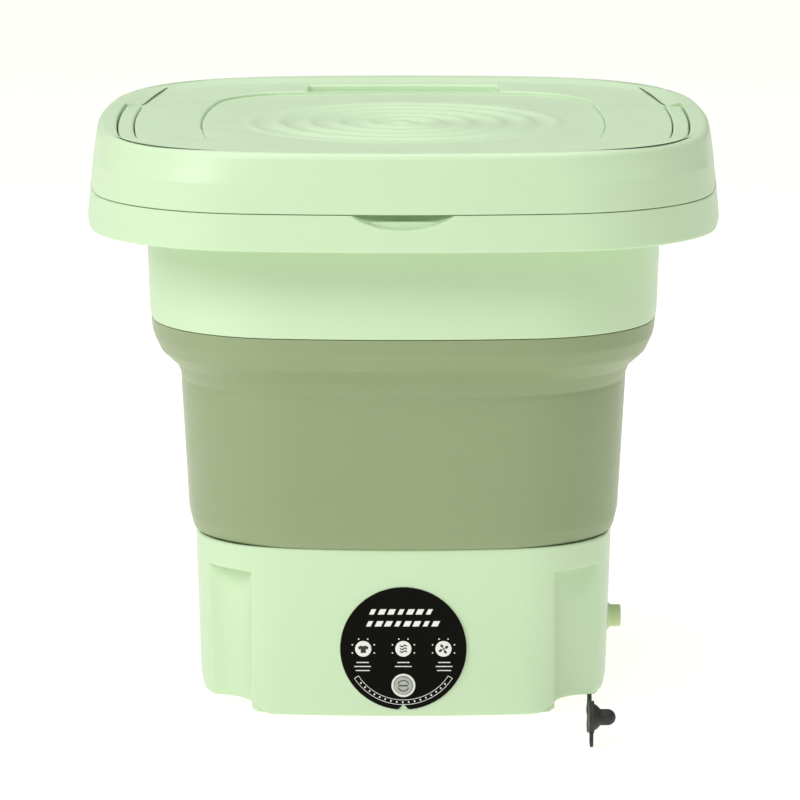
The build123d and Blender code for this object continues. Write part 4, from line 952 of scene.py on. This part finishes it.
def drain_plug():
    """The rubber stopper: a round head standing on its pull tab, a hub, a stem and the tether's boss."""
    tip = PLUG_HIGH[0] - PLUG_X - STEM_RADIUS
    rows = soft_chain([
        (0.5, -1.2, 0), (HEAD_RADIUS, -1.2, 0.6), (HEAD_RADIUS, 1.2, 0.6), (6.0, 1.3, 0.5), (5.2, 2.6, 1.0),
        (STEM_RADIUS, 4.0, 0.8), (STEM_RADIUS, tip, 0),
    ])
    dome = np.radians([15, 30, 45, 60, 75, 86])
    rows += [(STEM_RADIUS * math.cos(a), tip + STEM_RADIUS * math.sin(a)) for a in dome]
    body = lathe("drain_plug_skin", rows, 64, (PLUG_X, PLUG_Y, PLUG_AXIS), "X")
    right = [(3.4, PLUG_AXIS), (4.0, 3.0), (3.8, 1.2), (2.9, 0.3)]
    edge = np.array(right + [(-across, up) for across, up in reversed(right)])
    middle = np.array([0.0, PLUG_AXIS / 2])
    grid = []
    for x, share in ((-0.8, 0.92), (-0.5, 1.0), (0.5, 1.0), (0.8, 0.92)):
        flat = middle + (edge - middle) * share
        grid.append(np.column_stack([np.full(len(edge), PLUG_X + x), PLUG_Y + flat[:, 0], flat[:, 1]]))
    tab = surface("plug_tab", np.array(grid), caps=(True, True))
    end, before = np.array(TETHER_ROUTE[-1]), np.array(TETHER_ROUTE[-2])
    along = (end - before) / np.linalg.norm(end - before)
    boss = rod_between("plug_boss", end, end + along * 3.2, [1.15, 1.4, 1.5, 1.5])
    return finish_piece(join("drain_plug_skin", [body, tab, boss]), "base", "plug_rubber", "drain_plug")


def rod_between(name, start, end, radii, turns=24):
    """A round bar between two points, through these radii."""
    start, end = np.array(start, float), np.array(end, float)
    axis = Vector(end - start).normalized()
    side = axis.orthogonal().normalized()
    up = axis.cross(side)
    angle = np.linspace(0, 2 * math.pi, turns, endpoint=False)
    ring = np.outer(np.cos(angle), side) + np.outer(np.sin(angle), up)
    grid = [start + (end - start) * k / (len(radii) - 1) + ring * r for k, r in enumerate(radii)]
    return surface(name, np.array(grid), caps=(True, True))


def plug_tether(plug):
    """The free rubber cord from the eye under the side panel to the plug."""
    data = bpy.data.curves.new("plug_tether_cord", "CURVE")
    data.dimensions = "3D"
    data.bevel_depth = TETHER_RADIUS * MM
    data.bevel_resolution = 5
    data.resolution_u = 10
    data.use_fill_caps = True
    spline = data.splines.new("NURBS")
    spline.points.add(len(TETHER_ROUTE) - 1)
    for point, place in zip(spline.points, TETHER_ROUTE):
        point.co = (*(Vector(place) * MM), 1.0)
    spline.order_u = 3
    spline.use_endpoint_u = True
    cord = bpy.data.objects.new("plug_tether_cord", data)
    bpy.context.scene.collection.objects.link(cord)
    finish_piece(cord, "base", "plug_rubber", "plug_tether", weighted=False)


# ---------------- tub floor and pulsator
def blade_height(radius, angle):
    """Height of the six swept blades over the pulsator's cone, in millimetres."""
    sweep = angle - 0.0055 * (radius - 14)
    off = (sweep * 6 / (2 * math.pi) + 0.5) % 1 - 0.5
    distance = np.abs(off) * 2 * math.pi / 6 * radius
    width = 2.6 + 0.03 * radius
    along = smooth_step(radius, 13, 22) * (1 - smooth_step(radius, 58, 65))
    return 8.6 * along * (1 - smooth_step(distance, 0.35 * width, 1.35 * width)) * (1.0 - 0.006 * radius)


def pulsator():
    """The turning disc: a low cone with six soft blades, a turned-down edge and a hub."""
    turns, hub = 360, 12.0
    angle = np.linspace(0, 2 * math.pi, turns, endpoint=False)
    top, edge = PULSATOR_HIGH[2], PULSATOR_HIGH[0]
    cone = [(7, top), (10.4, top), (11.4, top - 1.2), (17, 79.6), (30, 75.2), (64, 72.4), (68, 71.8)]
    rows = []
    for radius in [7.0, 9.0, 10.4, 11.0, 11.4] + list(np.arange(12.5, edge - 2, 1.1)):
        height = np.interp(radius, *zip(*cone))
        if radius > hub:
            height = np.minimum(height + blade_height(radius, angle), 84.6 - 0.1 * radius)
        rows.append((radius, height))
    rows += [(edge - 0.8, 71.9), (edge - 0.2, 71.5), (edge, 70.8), (edge - 0.2, 70.1), (edge - 1.5, 69.6),
             (edge - 4, 69.4), (hub, 71.4), (11.0, 68.2), (4.6, 68.2)]
    ray = np.column_stack([np.cos(angle), np.sin(angle)])
    grid = [np.column_stack([radius * ray, np.broadcast_to(height, turns)]) for radius, height in rows]
    piece = surface("pulsator_skin", np.array(grid), caps=(True, True))
    return finish_piece(piece, "pulsator", "basin_plastic", "pulsator")


def pulsator_cap():
    """The domed cap over the pulsator's screw."""
    rows = [(5.9, 83.9), (6.7, 84.1), (6.8, 84.5), (6.5, 85.0), (5.8, 85.3), (4.0, 85.38), (1.0, 85.4)]
    piece = lathe("pulsator_cap_skin", rows, 64)
    return finish_piece(piece, "pulsator", "basin_plastic", "pulsator_cap")


# ---------------- stage, lights, camera
CAMERA_AT = (0.0, -2.4, 0.56945)
CAMERA_DOWN = math.radians(10.376)
CAMERA_LENS = 233.1
CAMERA_SHIFT = (-0.00425, 0.0021)


def floor():
    """A plain pale floor."""
    mesh = bpy.data.meshes.new("studio_floor")
    half = 30.0
    corners = [(-half, -half, 0), (half, -half, 0), (half, half, 0), (-half, half, 0)]
    mesh.from_pydata(corners, [], [(0, 1, 2, 3)])
    made = bpy.data.objects.new("studio_floor", mesh)
    bpy.context.scene.collection.objects.link(made)
    finish = bpy.data.materials.new("studio_floor")
    finish.use_nodes = True
    fill(finish.node_tree.nodes["Principled BSDF"], Base_Color=colour(150, 150, 146), Roughness=0.9,
         Specular_IOR_Level=0.05, Emission_Color=colour(255, 255, 248), Emission_Strength=0.88)
    mesh.materials.append(finish)


def area_light(name, place, aim, size, power, tint=(1, 1, 1)):
    """A soft box that looks at a point."""
    data = bpy.data.lights.new(name, "AREA")
    data.shape = "RECTANGLE"
    data.size, data.size_y = size
    data.energy = power
    data.color = tint
    made = bpy.data.objects.new(name, data)
    made.location = place
    made.rotation_euler = (Vector(aim) - Vector(place)).to_track_quat("-Z", "Y").to_euler()
    bpy.context.scene.collection.objects.link(made)


def lights():
    """An even room light, a key from the front left, a front light, a weak fill and one overhead."""
    world = bpy.data.worlds.new("studio")
    world.use_nodes = True
    fill(world.node_tree.nodes["Background"], Color=(1.0, 1.0, 0.985, 1.0), Strength=0.32)
    bpy.context.scene.world = world
    middle = (0, 0, 0.15)
    area_light("key", (-1.6, -1.2, 1.5), middle, (0.7, 1.1), 20.0)
    area_light("front", (-0.5, -2.0, 2.0), middle, (1.2, 0.8), 14.0)
    area_light("fill", (1.6, -1.0, 1.6), middle, (0.8, 1.2), 1.5)
    area_light("top", (0.0, 0.2, 2.0), middle, (1.4, 1.0), 16.0)
    bpy.context.scene.view_settings.view_transform = "Standard"


def camera():
    """The camera at the product view's angle."""
    data = bpy.data.cameras.new("camera")
    data.lens = CAMERA_LENS
    data.sensor_width = 36.0
    data.shift_x, data.shift_y = CAMERA_SHIFT
    data.clip_end = 100.0
    made = bpy.data.objects.new("camera", data)
    made.location = CAMERA_AT
    made.rotation_euler = (math.pi / 2 - CAMERA_DOWN, 0, 0)
    bpy.context.scene.collection.objects.link(made)
    bpy.context.scene.camera = made


# ---------------- build
camera()
plug_tether(drain_plug())
floor()
lights()
dress_cad_nodes()
lid_shell()
lid_centre_panel()
carry_handle()
lid_liner()
lid_painted_groove_shade()
upper_frame()
rim_ring()
clamp_ring()
folding_wall()
base_housing()
control_panel()
drain_spout()
pulsator()
pulsator_cap()
